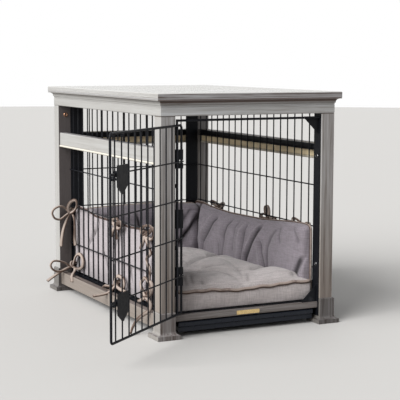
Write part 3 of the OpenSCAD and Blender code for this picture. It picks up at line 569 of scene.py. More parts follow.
class CRATE_OT_wood(Operator):
    """Stain the table frame."""

    bl_idname = "crate.wood"
    bl_label = "Wood"

    def execute(self, context):
        wood = context.scene.crate_wood
        raw, dark, pale = tuple(wood.raw), tuple(wood.dark), tuple(wood.pale)

        def stain(names, title, grain, slot="frame_wood", **look):
            paint(names, slot, weathered_wood(title, wood, grain, **look))

        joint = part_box("frieze_front")[0].z
        # The posts are tinted darker towards the floor: painted shade
        stain(POSTS, "wood_upright", Z, lines=((joint - 0.0016, joint + 0.001, dark, 0.8),),
              tint=(0.98, 0.97, 0.97), calm=0.30, worn=(0.66, 0.58, 0.52))
        # Both tints darken the feet, the other feet's to about half of the near foot's: painted
        # shade
        stain(NEAR_FOOT, "wood_foot_near", Z, seed=0.2, tint=(0.68, 0.65, 0.63))
        stain(OTHER_FEET, "wood_foot", Z, seed=0.2, tint=(0.36, 0.34, 0.33))
        # Painted shade on the back left post's front face
        stain(["post_back_left"], "wood_upright_shaded", Z,
              faces=(((0.0, -1.0, 0.0), tuple(wood.shade)),))
        # The friezes and corner blocks are tinted paler and bluer: painted sheen
        stain(WIDE_WOOD, "wood_wide", X, seed=0.3, tint=(1.36, 1.40, 1.44), calm=0.5)
        stain(DEEP_WOOD, "wood_deep", Y, seed=0.5)
        low, high = (corner.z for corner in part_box("crown_front"))
        # The first line is the brown painted shade in the hollow under the slab
        hollow = ((low + 0.0048, high + 0.001, tuple(wood.hollow_shade), 0.9),
                  (low + 0.0002, low + 0.0016, dark, 0.6),
                  (low + 0.0105, low + 0.0125, pale, 0.35))
        # The front and back crowns are tinted paler and bluer in the same way: painted sheen
        stain(["crown_front", "crown_back"], "wood_crown_wide", X, lines=hollow, seed=0.7,
              tint=(1.35, 1.37, 1.40), calm=0.4)
        # Painted shade: a faint dark line along the deep crowns' upper part, under the slab
        stain(["crown_left", "crown_right"], "wood_crown_deep", Y,
              lines=((low + 0.0100, high + 0.001, dark, 0.25),), seed=0.9)
        rim = ((high + 0.0006, high + 0.0028, pale, 0.6), (high + 0.0030, high + 0.0042, dark, 0.5))
        stain(["table_top"], "wood_top", Y, "top_wood", faces=(((0.0, 0.0, 1.0), tuple(wood.top)),),
              lines=rim, seed=1.1, end_grain=X, gloss=0.30)
        for side, inward in (("left", 1.0), ("right", -1.0)):
            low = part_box(f"mid_rail_{side}")[0].z
            # Painted highlight along the rails' bottom bead, with a painted shadow line just above
            # it, on every face of the rail
            bead_highlight = ((low - 0.001, low + 0.0060, tuple(wood.bead_highlight), 0.85),
                    (low + 0.0062, low + 0.0074, dark, 0.45))
            stain([f"mid_rail_{side}"], f"wood_rail_{side}", Y,
                  faces=(((inward, 0.0, 0.0), raw),), lines=bead_highlight, seed=1.3)
            stain([f"bottom_rail_{side}"], f"wood_low_{side}", Y, tint=(0.58, 0.50, 0.45), seed=1.5)
        stain(["mid_rail_back"], "wood_rail_back", X,
              faces=(((0.0, -1.0, 0.0), raw), ((0.0, 0.0, -1.0), raw)), lines=bead_highlight, seed=1.7)
        stain(["bottom_rail_front", "bottom_rail_back"], "wood_low_wide", X,
              tint=(0.58, 0.54, 0.51), seed=1.9)
        return {"FINISHED"}


class CRATE_OT_steel(Operator):
    """Coat the steel black and the tray dark blue, and polish the brass plate."""

    bl_idname = "crate.steel"
    bl_label = "Steel and brass"

    def execute(self, context):
        steel = context.scene.crate_steel
        paint(STEEL, "black_steel", coated_steel("steel_frame", steel, steel.coat))
        paint(LATCH_STEEL, "black_steel", coated_steel("steel_moving", steel, steel.coat, 0.38))
        paint(["tray"], "black_steel", coated_steel("steel_tray", steel, steel.navy, 0.34, 0.28))
        paint(["name_plate_blank"], "plate_brass",
              brushed_metal("brass_plate", steel.brass, 0.28, X))
        return {"FINISHED"}


# Padded pieces

def smooth_step(value, low, high):
    share = np.clip((value - low) / (high - low), 0.0, 1.0)
    return share * share * (3 - 2 * share)


def hill(distance, reach):
    return np.exp(-(distance / reach) ** 2)


def middle_of(edge):
    return (edge.verts[0].co + edge.verts[1].co) / 2


def runs_along(edge, axis):
    """Whether an edge lies along an axis."""
    return abs((edge.verts[1].co - edge.verts[0].co).normalized()[axis]) > 0.9


def even_block(name, low, high, axis, step, corner):
    """Block with edges rounded about one axis, remeshed into even faces. corner gives the
    radius of the edge at a place."""
    bpy.ops.object.select_all(action="DESELECT")
    bpy.ops.mesh.primitive_cube_add(size=1, location=(low + high) / 2)
    block = bpy.context.object
    block.name = name
    block.data.name = name
    block.scale = high - low
    bake_place(block)
    mesh = bmesh.new()
    mesh.from_mesh(block.data)
    places = [tuple(middle_of(edge)) for edge in mesh.edges if runs_along(edge, axis)]
    mesh.free()
    bpy.ops.object.mode_set(mode="EDIT")
    for place in places:
        mesh = bmesh.from_edit_mesh(block.data)
        for edge in mesh.edges:
            near = (middle_of(edge) - Vector(place)).length < 1e-4
            edge.select_set(near and runs_along(edge, axis))
        bmesh.update_edit_mesh(block.data)
        bpy.ops.mesh.bevel(offset=corner(Vector(place)), segments=8, affect="EDGES")
    bpy.ops.object.mode_set(mode="OBJECT")
    apply_modifier(block, "REMESH", "even", mode="VOXEL", voxel_size=step, adaptivity=0.0)
    return block


def nearest_on_line(flat, line):
    """For each point of a plane: its distance from a line of points, on which side it lies,
    and how far along the line it is, from 0 to 1."""
    best = np.full(len(flat), np.inf)
    side = np.ones(len(flat))
    along = np.zeros(len(flat))
    line = np.array(line, float)
    runs = np.linalg.norm(np.diff(line, axis=0), axis=1)
    before = 0.0
    for start, end, run in zip(line, line[1:], runs):
        step = (end - start) / run
        share = np.clip((flat - start) @ step, 0.0, run)
        gap = flat - (start + share[:, None] * step)
        distance = np.linalg.norm(gap, axis=1)
        closer = distance < best
        best = np.where(closer, distance, best)
        side = np.where(closer, np.sign(step[0] * gap[:, 1] - step[1] * gap[:, 0]), side)
        along = np.where(closer, (before + share) / runs.sum(), along)
        before += run
    return best, side, along


def fold_depth(flat, line, depth, width, soft_side=1.0, open_end=False):
    """Depth of a fold: steep on one side, soft on the other, with a ridge beside it."""
    distance, side, along = nearest_on_line(flat, line)
    soft = side * soft_side > 0
    reach = np.where(soft, width, 0.35 * width)
    valley = 0.62 * hill(distance, reach) + 0.38 * hill(distance, 0.0036)
    ridge = 0.40 * hill(distance - 1.9 * width, 1.1 * width) * soft
    ridge = ridge + 0.22 * hill(distance - 0.9 * width, 0.5 * width) * ~soft
    ends = smooth_step(along, 0.0, 0.18)
    if not open_end:
        ends = ends * smooth_step(1 - along, 0.0, 0.18)
    return depth * (valley - ridge) * ends


def fold_shade(flat, line, strength, open_end=False):
    """How dark the cloth is in a fold, from 0 to 1."""
    distance, side, along = nearest_on_line(flat, line)
    ends = smooth_step(along, 0.04, 0.30)
    if not open_end:
        ends = ends * smooth_step(1 - along, 0.04, 0.30)
    return strength * (0.85 * hill(distance, 0.0038) + 0.30 * hill(distance, 0.012)) * ends


def keep_shade(obj, shade):
    """Stores each point's painted shade for the material."""
    layer = obj.data.attributes.new("fold", "FLOAT", "POINT")
    layer.data.foreach_set("value", np.clip(shade, 0.0, 1.0).astype(np.float32))


# Cloth of the pads while they are filled, for how many frames, and the least share of being
# held that counts
CLOTH = {"quality": 4, "mass": 0.25, "tension_stiffness": 12, "compression_stiffness": 12,
         "shear_stiffness": 5, "bending_stiffness": 0.4, "use_pressure": True}
FILLING_FRAMES = 20
LEAST_HELD = 0.02


def fill_pad(obj, held, bedding):
    """Swells a pad with cloth simulation. held is each point's share of being held still."""
    still = points_of(obj)
    group = obj.vertex_groups.new(name="held")
    for index in np.nonzero(held > LEAST_HELD)[0]:
        group.add([int(index)], float(min(1.0, held[index])), "REPLACE")
    cloth = obj.modifiers.new("filling", "CLOTH")
    for key, value in CLOTH.items():
        setattr(cloth.settings, key, value)
    cloth.settings.uniform_pressure_force = bedding.pressure
    cloth.settings.effector_weights.gravity = 0
    cloth.settings.vertex_group_mass = "held"
    cloth.collision_settings.use_collision = False
    cloth.point_cache.frame_start = 1
    cloth.point_cache.frame_end = FILLING_FRAMES
    scene = bpy.context.scene
    for number in range(1, FILLING_FRAMES + 1):
        scene.frame_set(number)
    select_only(obj)
    bpy.ops.object.modifier_apply(modifier=cloth.name)
    scene.frame_set(1)
    moved = points_of(obj) - still
    length = np.linalg.norm(moved, axis=1, keepdims=True)
    capped = moved * np.minimum(1.0, bedding.swell / np.maximum(length, 1e-9))
    move_points(obj, still + capped)
    obj.vertex_groups.clear()


def round_pad(obj):
    """One subdivision and smooth faces, once the shape is done."""
    apply_modifier(obj, "SUBSURF", "round", levels=1, render_levels=1)
    select_only(obj)
    bpy.ops.object.shade_smooth()


def snapped_ring(obj, starts, ways, stand):
    """Points where rays from each start meet the pad, moved back towards the start by stand."""
    tree = BVHTree.FromObject(obj, bpy.context.evaluated_depsgraph_get())
    ring = []
    for start, way in zip(starts, ways):
        hit = tree.ray_cast(Vector(start), Vector(way))[0]
        if hit is not None:
            ring.append(hit - Vector(way) * stand)
    return ring


def piping(name, ring, radius, material, closed=True):
    """Covered cord through the points of a ring."""
    data = bpy.data.curves.new(name, "CURVE")
    data.dimensions = "3D"
    data.bevel_depth = radius
    data.bevel_resolution = 2
    spline = data.splines.new("POLY")
    spline.points.add(len(ring) - 1)
    for point, place in zip(spline.points, ring):
        point.co = (*place, 1.0)
    spline.use_cyclic_u = closed
    data.use_fill_caps = not closed
    cord = link_object(name, data)
    bpy.ops.object.convert(target="MESH")
    bpy.ops.object.shade_smooth()
    finish_piece(cord, "crate", "bedding_fabric", material)


def rounded_ring(low, high, corner, step):
    """Points and outward ways round a rounded rectangle in a plane, counter-clockwise."""
    points, ways = [], []
    middles = [(high[0] - corner, low[1] + corner, -90), (high[0] - corner, high[1] - corner, 0),
               (low[0] + corner, high[1] - corner, 90), (low[0] + corner, low[1] + corner, 180)]
    for index, (u, v, first) in enumerate(middles):
        for degrees in range(first, first + 91, 15):
            way = (math.cos(math.radians(degrees)), math.sin(math.radians(degrees)))
            points.append((u + corner * way[0], v + corner * way[1]))
            ways.append(way)
        after = middles[(index + 1) % 4]
        way = ways[-1]
        end = (after[0] + corner * way[0], after[1] + corner * way[1])
        start = points[-1]
        count = int(math.dist(start, end) / step)
        for k in range(1, count):
            share = k / count
            points.append((start[0] + share * (end[0] - start[0]),
                           start[1] + share * (end[1] - start[1])))
            ways.append(way)
    return points, ways


# Rise of the welt above the seat's underside, and radii of the seat's front and back corners
WELT_RISE = 0.0475
FRONT_CORNER, BACK_CORNER = 0.004, 0.022
# Fall of the seat's top towards its back, and the places between which it falls
BACK_FALL = 0.010
BACK_FALL_Y = (0.20, 0.30)
# Darkness of a valley for each metre of its depth, of a pucker, and of a tuft
VALLEY_SHADE, PUCKER_SHADE, TUFT_SHADE = 34, 0.4, 0.6
# Ripples of the boxing and of the front cord: a height, radians in each metre, and for the cord
# the angle at which it starts
BOXING_RIPPLE = (0.0012, 52)
CORD_RIPPLES = ((0.0012, 55, 0), (0.0008, 130, 1))
# The seat's cord: its thickness as a share of the bolsters' cords, its steps, and the distance
# at which it comes back behind itself
SEAT_CORD = 1.15
CORD_STEPS = 96
CORD_RETURN = 0.0045
# The tufts stand in two columns and three rows
TUFT_X = (-0.062, 0.062)
TUFT_Y = (-0.195, -0.020, 0.155)
# Height of the welt along the front, from left to right
WELT_X = [-0.204, -0.179, -0.140, -0.083, -0.025, 0.013, 0.054, 0.108, 0.160, 0.204]
WELT_Z = [0.1095, 0.1090, 0.1100, 0.1070, 0.1040, 0.1025, 0.1060, 0.1080, 0.1090, 0.1095]
# Height of the seat's side edges, from the front to the back
EDGE_Y = [-0.352, -0.323, -0.271, -0.217, -0.161, -0.116, 0.016, 0.111, 0.170, 0.224, 0.300]
EDGE_Z = [0.1130, 0.1195, 0.1170, 0.1105, 0.1010, 0.1005, 0.1010, 0.0960, 0.0990, 0.1020, 0.0935]
# Valleys sewn between the tufts and out to the edges: points, then depth and width
SEAT_VALLEYS = [
    ([(0.178, 0.105), (0.099, 0.017), (0.054, -0.028), (0.013, -0.072), (-0.046, -0.131),
      (-0.110, -0.190)], 0.015, 0.020),
    ([(0.178, -0.165), (0.147, -0.214), (0.105, -0.255), (0.060, -0.282), (0.007, -0.256),
      (-0.062, -0.210)], 0.015, 0.018),
    ([(-0.062, -0.195), (-0.030, -0.262), (0.002, -0.350)], 0.010, 0.024),
    ([(0.062, -0.195), (0.030, -0.262), (0.002, -0.350)], 0.009, 0.022),
    ([(-0.181, -0.245), (-0.122, -0.233), (-0.062, -0.195)], 0.010, 0.022),
    ([(0.062, -0.195), (0.122, -0.216), (0.181, -0.232)], 0.009, 0.022),
    ([(-0.062, -0.195), (0.000, -0.186), (0.062, -0.195)], 0.008, 0.022),
    ([(-0.062, -0.195), (-0.053, -0.110), (-0.062, -0.020)], 0.009, 0.022),
    ([(0.062, -0.195), (0.072, -0.110), (0.062, -0.020)], 0.009, 0.022),
    ([(-0.181, -0.030), (-0.120, -0.026), (-0.062, -0.020)], 0.009, 0.022),
    ([(0.062, -0.020), (0.110, -0.026), (0.181, -0.030)], 0.010, 0.022),
    ([(-0.062, -0.020), (0.000, -0.012), (0.062, -0.020)], 0.008, 0.022),
    ([(-0.062, -0.020), (-0.070, 0.070), (-0.062, 0.155)], 0.009, 0.022),
    ([(0.062, -0.020), (0.054, 0.070), (0.062, 0.155)], 0.009, 0.022),
    ([(-0.181, 0.165), (-0.120, 0.160), (-0.062, 0.155)], 0.009, 0.022),
    ([(0.062, 0.155), (0.120, 0.160), (0.181, 0.165)], 0.009, 0.022),
    ([(-0.062, 0.155), (0.000, 0.163), (0.062, 0.155)], 0.008, 0.022),
    ([(-0.062, 0.155), (-0.070, 0.230), (-0.055, 0.312)], 0.008, 0.022),
    ([(0.062, 0.155), (0.070, 0.230), (0.055, 0.312)], 0.008, 0.022),
]
# Small puckers that run in from the front welt
PUCKER_DEPTH, PUCKER_WIDTH = 0.0036, 0.0060
SEAT_PUCKERS = [
    [(-0.160, -0.350), (-0.152, -0.318), (-0.140, -0.280)],
    [(-0.140, -0.350), (-0.135, -0.322), (-0.120, -0.286)],
    [(-0.116, -0.350), (-0.110, -0.328)],
    [(0.014, -0.350), (0.026, -0.326), (0.036, -0.302)],
    [(0.150, -0.350), (0.160, -0.326), (0.166, -0.298)],
]


def tuft_hill(flat, reach):
    """1 at the middle of each tuft, and less with the distance from it."""
    return np.max([hill(np.hypot(flat[:, 0] - x, flat[:, 1] - y), reach)
                   for x in TUFT_X for y in TUFT_Y], axis=0)


def seat_lift(points, low, high, bedding):
    """How far each point of the seat's top stands above the welt."""
    middle = (low.y + high.y) / 2
    across = np.clip(1 - (points[:, X] / high.x) ** 2, 0.0, 1.0)
    down = (points[:, Y] - middle) / (high.y - middle)
    along = np.clip(1 - down ** 2, 0.0, 1.0)
    room = across ** 0.42 * np.where(down < 0, along ** 0.20, along ** 0.50)
    lift = bedding.crown * room - BACK_FALL * smooth_step(points[:, Y], *BACK_FALL_Y)
    flat = points[:, :2]
    sunk = np.zeros(len(points))
    for line, depth, width in SEAT_VALLEYS:
        distance = nearest_on_line(flat, line)[0]
        valley = 0.68 * hill(distance, width) + 0.32 * hill(distance, 0.0055)
        sunk = np.maximum(sunk, depth * valley)
    tufts = 0.6 * tuft_hill(flat, 0.034) + 0.4 * tuft_hill(flat, 0.010)
    sunk = np.maximum(sunk, bedding.tuft * tufts)
    for line in SEAT_PUCKERS:
        sunk = sunk + fold_depth(flat, line, PUCKER_DEPTH, PUCKER_WIDTH)
    edge = np.interp(points[:, Y], EDGE_Y, EDGE_Z) - high.z
    edge = edge * smooth_step(np.abs(points[:, X]), 0.03, high.x - 0.012)
    lift = lift + edge * smooth_step(points[:, Y], low.y + 0.006, low.y + 0.034)
    return lift - sunk * np.minimum(1.0, room + 0.1)


def seat_shade(obj):
    """How dark the finished seat is in its valleys, tufts and puckers, from 0 to 1."""
    flat = points_of(obj)[:, :2]
    shade = np.zeros(len(flat))
    for line, depth, width in SEAT_VALLEYS:
        shade = np.maximum(shade, fold_shade(flat, line, VALLEY_SHADE * depth))
    for line in SEAT_PUCKERS:
        shade = np.maximum(shade, fold_shade(flat, line, PUCKER_SHADE))
    shade = np.maximum(shade, TUFT_SHADE * tuft_hill(flat, 0.005))
    return shade * smooth_step(normals_of(obj)[:, Z], 0.3, 0.7)


def shape_seat(obj, low, high, bedding):
    """Crowned top with tufts, bulging sides, and a front that reaches past the bolsters' ends."""
    points = points_of(obj)

    def near_front(depth, full=0.0):
        """1 up to one distance behind the seat's front, and 0 from another."""
        return smooth_step(-points[:, Y], -(low.y + depth), -(low.y + full))

    height = (points[:, Z] - low.z) / (high.z - low.z)
    bulging = np.sin(np.pi * np.clip(height, 0.0, 1.0))
    welt = np.interp(points[:, X], WELT_X, WELT_Z)
    lifted = seat_lift(points, low, high, bedding)
    points[:, Z] += (near_front(0.030) * (welt - high.z) * np.clip(height, 0, 1)
                     + smooth_step(height, 0.86, 0.985) * lifted)
    ripple, rate = BOXING_RIPPLE
    points[:, Y] -= near_front(0.012) * bulging * (bedding.bulge
                                                   + ripple * np.sin(points[:, X] * rate))
    side = smooth_step(np.abs(points[:, X]), high.x - 0.030, high.x - 0.002)
    points[:, X] += np.sign(points[:, X]) * side * bedding.ear * near_front(0.0145, 0.006)
    move_points(obj, points)


def seat_held(points, low, high):
    """How far each point is held still while the seat is filled: its edges and its tufts."""
    share = (points[:, Z] - low.z) / (high.z - low.z)
    edge = hill(share - 1.0, 0.12) + hill(share, 0.2)
    inner = smooth_step(np.abs(points[:, X]), 0.0, high.x - 0.012)
    sewn = tuft_hill(points[:, :2], 0.02)
    return np.clip(np.maximum(edge * (share < 1.06) + (share < 0.9) * inner, sewn), 0, 1)


def seat_cord_route(seat, low, high, bedding):
    """Ring along the front of the seat's welt, and back a little behind it."""
    reach = high.x + bedding.ear - 0.002
    starts = []
    for k in range(CORD_STEPS + 1):
        x = -reach + 2 * reach * k / CORD_STEPS
        wave = sum(rise * math.sin(rate * x + start) for rise, rate, start in CORD_RIPPLES)
        starts.append((x, low.y - 0.05, np.interp(x, WELT_X, WELT_Z) + wave))
    front = snapped_ring(seat, starts, [(0.0, 1.0, 0.0)] * len(starts), 0.0004)
    return front + [point + Vector((0.0, CORD_RETURN, 0.0)) for point in reversed(front)]


class CRATE_OT_seat(Operator):
    """Make the tufted seat cushion and its piping."""

    bl_idname = "crate.seat"
    bl_label = "Seat cushion"

    def execute(self, context):
        bedding = context.scene.crate_bedding
        low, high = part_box("seat_cushion")
        top = Vector((high.x, high.y, low.z + WELT_RISE))
        seat = even_block("seat_cushion_cover", low, top, Z, bedding.even,
                          lambda place: FRONT_CORNER if place.y < 0 else BACK_CORNER)
        shape_seat(seat, low, top, bedding)
        fill_pad(seat, seat_held(points_of(seat), low, top), bedding)
        round_pad(seat)
        keep_shade(seat, seat_shade(seat))
        finish_piece(seat, "crate", "bedding_fabric", woven_cloth("cloth_seat", bedding.seat),
                     "seat_cushion")
        piping("seat_piping", seat_cord_route(seat, low, high, bedding),
               SEAT_CORD * bedding.welt_r,
               piping_cloth("cloth_seat_piping", bedding, bedding.piping_lit))
        return {"FINISHED"}


# Heights of the bolsters' top edges, the side ones' from the front end to the back
RIM_Y = [-0.338, -0.321, -0.290, -0.199, -0.086, -0.027, 0.096, 0.161, 0.228, 0.269, 0.339]
RIM_Z = [0.2530, 0.2550, 0.2590, 0.2520, 0.2440, 0.2460, 0.2450, 0.2450, 0.2550, 0.2560, 0.2545]
RIGHT_RIM_Y = [-0.346, -0.320, -0.290, -0.247, -0.183, -0.093, 0.002, 0.102, 0.179, 0.233, 0.288]
RIGHT_RIM_Z = [0.2548, 0.2570, 0.2564, 0.2540, 0.2489, 0.2414, 0.2394, 0.2372, 0.2395, 0.2428,
               0.2480]
BACK_RIM_X = [-0.178, -0.123, -0.058, 0.009, 0.042, 0.162, 0.197]
BACK_RIM_Z = [0.2437, 0.2454, 0.2481, 0.2493, 0.2500, 0.2447, 0.2439]
# Folds in the side bolsters' inner faces, as (y, z) lines with depth, width and soft side
SIDE_FOLDS = [
    ([(0.136, 0.236), (0.156, 0.212), (0.182, 0.184), (0.209, 0.159), (0.229, 0.138),
      (0.236, 0.098)], 0.0100, 0.012, 1),
    ([(0.041, 0.240), (0.072, 0.204), (0.090, 0.175), (0.096, 0.144), (0.109, 0.092)],
     0.0065, 0.013, 1),
    ([(-0.045, 0.238), (-0.039, 0.201), (-0.028, 0.176), (-0.022, 0.146), (-0.010, 0.095)],
     0.0100, 0.010, 1),
    ([(-0.132, 0.248), (-0.104, 0.209), (-0.081, 0.183), (-0.064, 0.158), (-0.046, 0.132),
      (-0.035, 0.092)], 0.0110, 0.012, -1),
    ([(-0.127, 0.200), (-0.139, 0.157), (-0.151, 0.131), (-0.163, 0.092)], 0.0085, 0.009, 1),
    ([(-0.232, 0.250), (-0.189, 0.206), (-0.173, 0.179), (-0.168, 0.144), (-0.169, 0.100)],
     0.0040, 0.011, -1),
    ([(-0.285, 0.254), (-0.307, 0.235), (-0.325, 0.212)], 0.0035, 0.009, 1),
    ([(-0.340, 0.182), (-0.326, 0.153), (-0.306, 0.108)], 0.0100, 0.010, -1),
    ([(0.122, 0.160), (0.122, 0.126), (0.122, 0.095)], 0.0035, 0.008, 1),
    ([(-0.224, 0.245), (-0.240, 0.200)], 0.0035, 0.010, 1),
    ([(0.000, 0.240), (0.022, 0.205), (0.036, 0.140)], 0.0030, 0.010, 1),
]
# Folds in the left bolster's outer face, seen through the wires
OUTER_FOLDS = [
    ([(0.276, 0.252), (0.268, 0.195), (0.256, 0.125)], 0.0045, 0.008, 1),
    ([(0.122, 0.235), (0.170, 0.190), (0.222, 0.148)], 0.0055, 0.010, 1),
    ([(0.153, 0.205), (0.178, 0.185), (0.204, 0.160)], 0.0035, 0.007, -1),
    ([(-0.040, 0.238), (0.010, 0.180), (0.030, 0.110)], 0.0045, 0.010, 1),
    ([(-0.190, 0.240), (-0.170, 0.180), (-0.182, 0.100)], 0.0045, 0.010, -1),
    ([(0.060, 0.085), (0.080, 0.130), (0.118, 0.170)], 0.0035, 0.009, 1),
    ([(-0.110, 0.080), (-0.098, 0.128), (-0.070, 0.160)], 0.0035, 0.009, 1),
]
# Folds in the back bolster's face, as (x, z) lines
BACK_FOLDS = [
    ([(0.188, 0.236), (0.178, 0.204), (0.160, 0.170), (0.140, 0.143), (0.114, 0.108)],
     0.0120, 0.016, 1),
    ([(0.170, 0.242), (0.150, 0.208), (0.124, 0.179)], 0.0045, 0.012, 1),
    ([(-0.020, 0.240), (-0.006, 0.180), (-0.014, 0.110)], 0.0080, 0.013, 1),
    ([(-0.120, 0.240), (-0.100, 0.185), (-0.076, 0.115)], 0.0090, 0.013, 1),
    ([(-0.176, 0.235), (-0.165, 0.180), (-0.150, 0.115)], 0.0090, 0.014, 1),
    ([(0.055, 0.240), (0.040, 0.195), (0.052, 0.130)], 0.0060, 0.012, 1),
]


# Radii of the bolsters' edges: at the front of their tops, and elsewhere
FRONT_TOP_CORNER, CORNER = 0.012, 0.006
# Rise of a bolster's inner face, fall of its rolled top edge, and height of its ripples
PUFF, ROLL, RIPPLE = 0.0050, 0.0085, 0.0012
# How far each bolster's low and high ends reach past its box, or short of it where negative
SPREADS = {"left": (0.0070, -0.0100), "right": (0.0100, 0.0), "back": (0.0165, 0.0165)}
# Share of its thickness that a side bolster loses beside the back bolster, the distances from
# its back end between which it does so, and the distance of the crease between the two
THINNED = 0.62
THINNING = (0.078, 0.040)
CREASE = 0.0415
# Share of thickness that the back bolster gains, and the distances from its ends
THICKENED = 0.6
THICKENING = (0.040, 0.010)
# How square the face of the back bolster and of a side bolster stays towards its ends
BACK_SQUARE, SIDE_SQUARE = 24, 6
# Corner and step of the route of a bolster's cord, and how far above its foot the cord ends
CORD_CORNER, CORD_STEP = 0.010, 0.010
CORD_END = 0.008
# Depth at which a fold is fully dark, darkness of the outer folds and of the outer face's foot,
# the heights between which the foot darkens, and the reach of the crease's darkness
FULL_FOLD = 0.008
OUTER_SHADE, FOOT_SHADE = 0.5, 0.30
FOOT_HEIGHTS = (0.115, 0.068)
CREASE_REACH = 0.010


def shape_bolster(points, along, through, inward, low, high, rim, folds, outer_folds,
                  thin, spread, square):
    """Pads a bolster: a soft inner face with folds, a rolled top, and a flat back on the wires.
    along is the axis that it runs along, through the axis of its thickness, and inward the
    sign of the way into the crate. thin gives each point's loss of thickness, spread how far
    its low and high ends reach past the box, and square how suddenly the face falls to them."""
    outer = (high if inward < 0 else low)[through]
    thick = abs(high[through] - low[through])
    inner = np.clip((points[:, through] - outer) * inward / thick, 0.0, 1.0)
    up = np.clip((points[:, Z] - low.z) / (high.z - low.z), 0.0, 1.0)
    middle = (low[along] + high[along]) / 2
    half = (high[along] - low[along]) / 2
    run = (points[:, along] - middle) / half
    rimmed = (np.interp(points[:, along], *rim) - high.z) * up ** 2
    flat = np.stack([points[:, along], points[:, Z] + rimmed], axis=1)
    face = smooth_step(inner, 0.45, 0.95)
    body = np.clip(1 - run ** square, 0.0, 1.0) * np.clip(1 - (2 * up - 1) ** 4, 0.0, 1.0)
    rise = PUFF * body
    for line, depth, width, soft_side in folds:
        rise = rise - fold_depth(flat, line, depth, width, soft_side, open_end=True)
    rise = rise + RIPPLE * np.sin(61 * points[:, along] + 3 * np.sin(37 * points[:, Z])) * body
    back = smooth_step(inner, 0.5, 0.05)
    dent = np.zeros(len(points))
    for line, depth, width, soft_side in outer_folds:
        dent = dent + np.maximum(fold_depth(flat, line, depth, width, soft_side), 0.0)
    dent = dent + 0.0015 * (1 - body)
    moved = points.copy()
    moved[:, through] = outer + (moved[:, through] - outer) * (1 - thin)
    moved[:, through] += inward * (face * rise + back * dent)
    roll = ROLL * smooth_step(inner, 0.35, 1.0) ** 2
    moved[:, Z] -= roll * smooth_step(up, 0.80, 1.0)
    moved[:, along] -= np.sign(run) * 0.15 * roll * smooth_step(np.abs(run), 1 - 0.03 / half, 1.0)
    moved[:, along] += (spread[1] * smooth_step(run, 0.90, 1.0)
                        - spread[0] * smooth_step(-run, 0.90, 1.0))
    moved[:, Z] += rimmed
    return moved


def bolster_shade(obj, along, through, inward, folds, outer_folds, corners):
    """How dark the finished bolster is in its folds and near the corners of the bedding."""
    points = points_of(obj)
    facing_in = inward * normals_of(obj)[:, through]
    flat = points[:, (along, Z)]
    inside = smooth_step(facing_in, 0.0, 0.4)
    outside = smooth_step(-facing_in, 0.0, 0.4)
    shade = np.zeros(len(points))
    for line, depth, width, soft_side in folds:
        strength = min(1.0, depth / FULL_FOLD)
        shade = np.maximum(shade, inside * fold_shade(flat, line, strength, open_end=True))
    for line, depth, width, soft_side in outer_folds:
        shade = np.maximum(shade, outside * fold_shade(flat, line, OUTER_SHADE))
    above, foot = FOOT_HEIGHTS
    shade = np.maximum(shade, FOOT_SHADE * outside * smooth_step(-points[:, Z], -above, -foot))
    for place in corners:
        shade = np.maximum(shade, hill(points[:, along] - place, CREASE_REACH))
    return shade


def bolster_ring(obj, along, through, place, low, high):
    """Ring round a bolster in the plane at place, snapped to its edge."""
    outline, ways = rounded_ring((low[along], low.z), (high[along], high.z),
                                 CORD_CORNER, CORD_STEP)
    starts, aims = [], []
    for (u, v), way in zip(outline, ways):
        start, aim = [0.0] * 3, [0.0] * 3
        start[along], start[Z], start[through] = u + 0.05 * way[0], v + 0.05 * way[1], place
        aim[along], aim[Z] = -way[0], -way[1]
        starts.append(start)
        aims.append(aim)
    return snapped_ring(obj, starts, aims, 0.0002)


# For each bolster: the axis that it runs along, the axis of its thickness, the sign of the way
# into the crate, the heights of its top edge, and its inner and outer folds
BOLSTERS = {
    "left": (Y, X, 1.0, (RIM_Y, RIM_Z), SIDE_FOLDS, OUTER_FOLDS),
    "right": (Y, X, -1.0, (RIGHT_RIM_Y, RIGHT_RIM_Z), SIDE_FOLDS, OUTER_FOLDS[3:]),
    "back": (X, Y, -1.0, (BACK_RIM_X, BACK_RIM_Z), BACK_FOLDS, ()),
}


def end_shape(side, points, low, high):
    """Each point's loss of thickness, how square the ends are, and where the creases lie."""
    if side == "back":
        start, end = (high.x - distance for distance in THICKENING)
        thin = -THICKENED * smooth_step(np.abs(points[:, X]), start, end)
        before, past = SPREADS[side]
        return thin, BACK_SQUARE, (low.x - before, high.x + past)
    start, end = (high.y - distance for distance in THINNING)
    return THINNED * smooth_step(points[:, Y], start, end), SIDE_SQUARE, (high.y - CREASE,)


def make_bolster(side, bedding, cloth, cord_cloth):
    """One bolster and its piping."""
    along, through, inward, rim, folds, outer_folds = BOLSTERS[side]
    low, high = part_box(f"bolster_{side}")
    outer = (high if inward < 0 else low)[through]
    half_up = 0.5 * (low.z + high.z)
    pad = even_block(f"bolster_{side}_cover", low, high, through, bedding.fine,
                     lambda place: FRONT_TOP_CORNER if side != "back" and place.y < 0
                     and place.z > half_up else CORNER)
    points = points_of(pad)
    thin, square, creases = end_shape(side, points, low, high)
    move_points(pad, shape_bolster(points, along, through, inward, low, high, rim, folds,
                                   outer_folds, thin, SPREADS[side], square))
    depth = (points[:, through] - outer) * inward / abs(high[through] - low[through])
    fill_pad(pad, 1 - smooth_step(depth, 0.35, 0.8), bedding)
    round_pad(pad)
    keep_shade(pad, bolster_shade(pad, along, through, inward, folds, outer_folds, creases))
    finish_piece(pad, "crate", "bedding_fabric", cloth, f"bolster_{side}")
    ring = bolster_ring(pad, along, through, outer + inward * bedding.welt_r, low, high)
    piping(f"bolster_{side}_piping", [point for point in ring if point.z > low.z + CORD_END],
           bedding.welt_r, cord_cloth, closed=False)


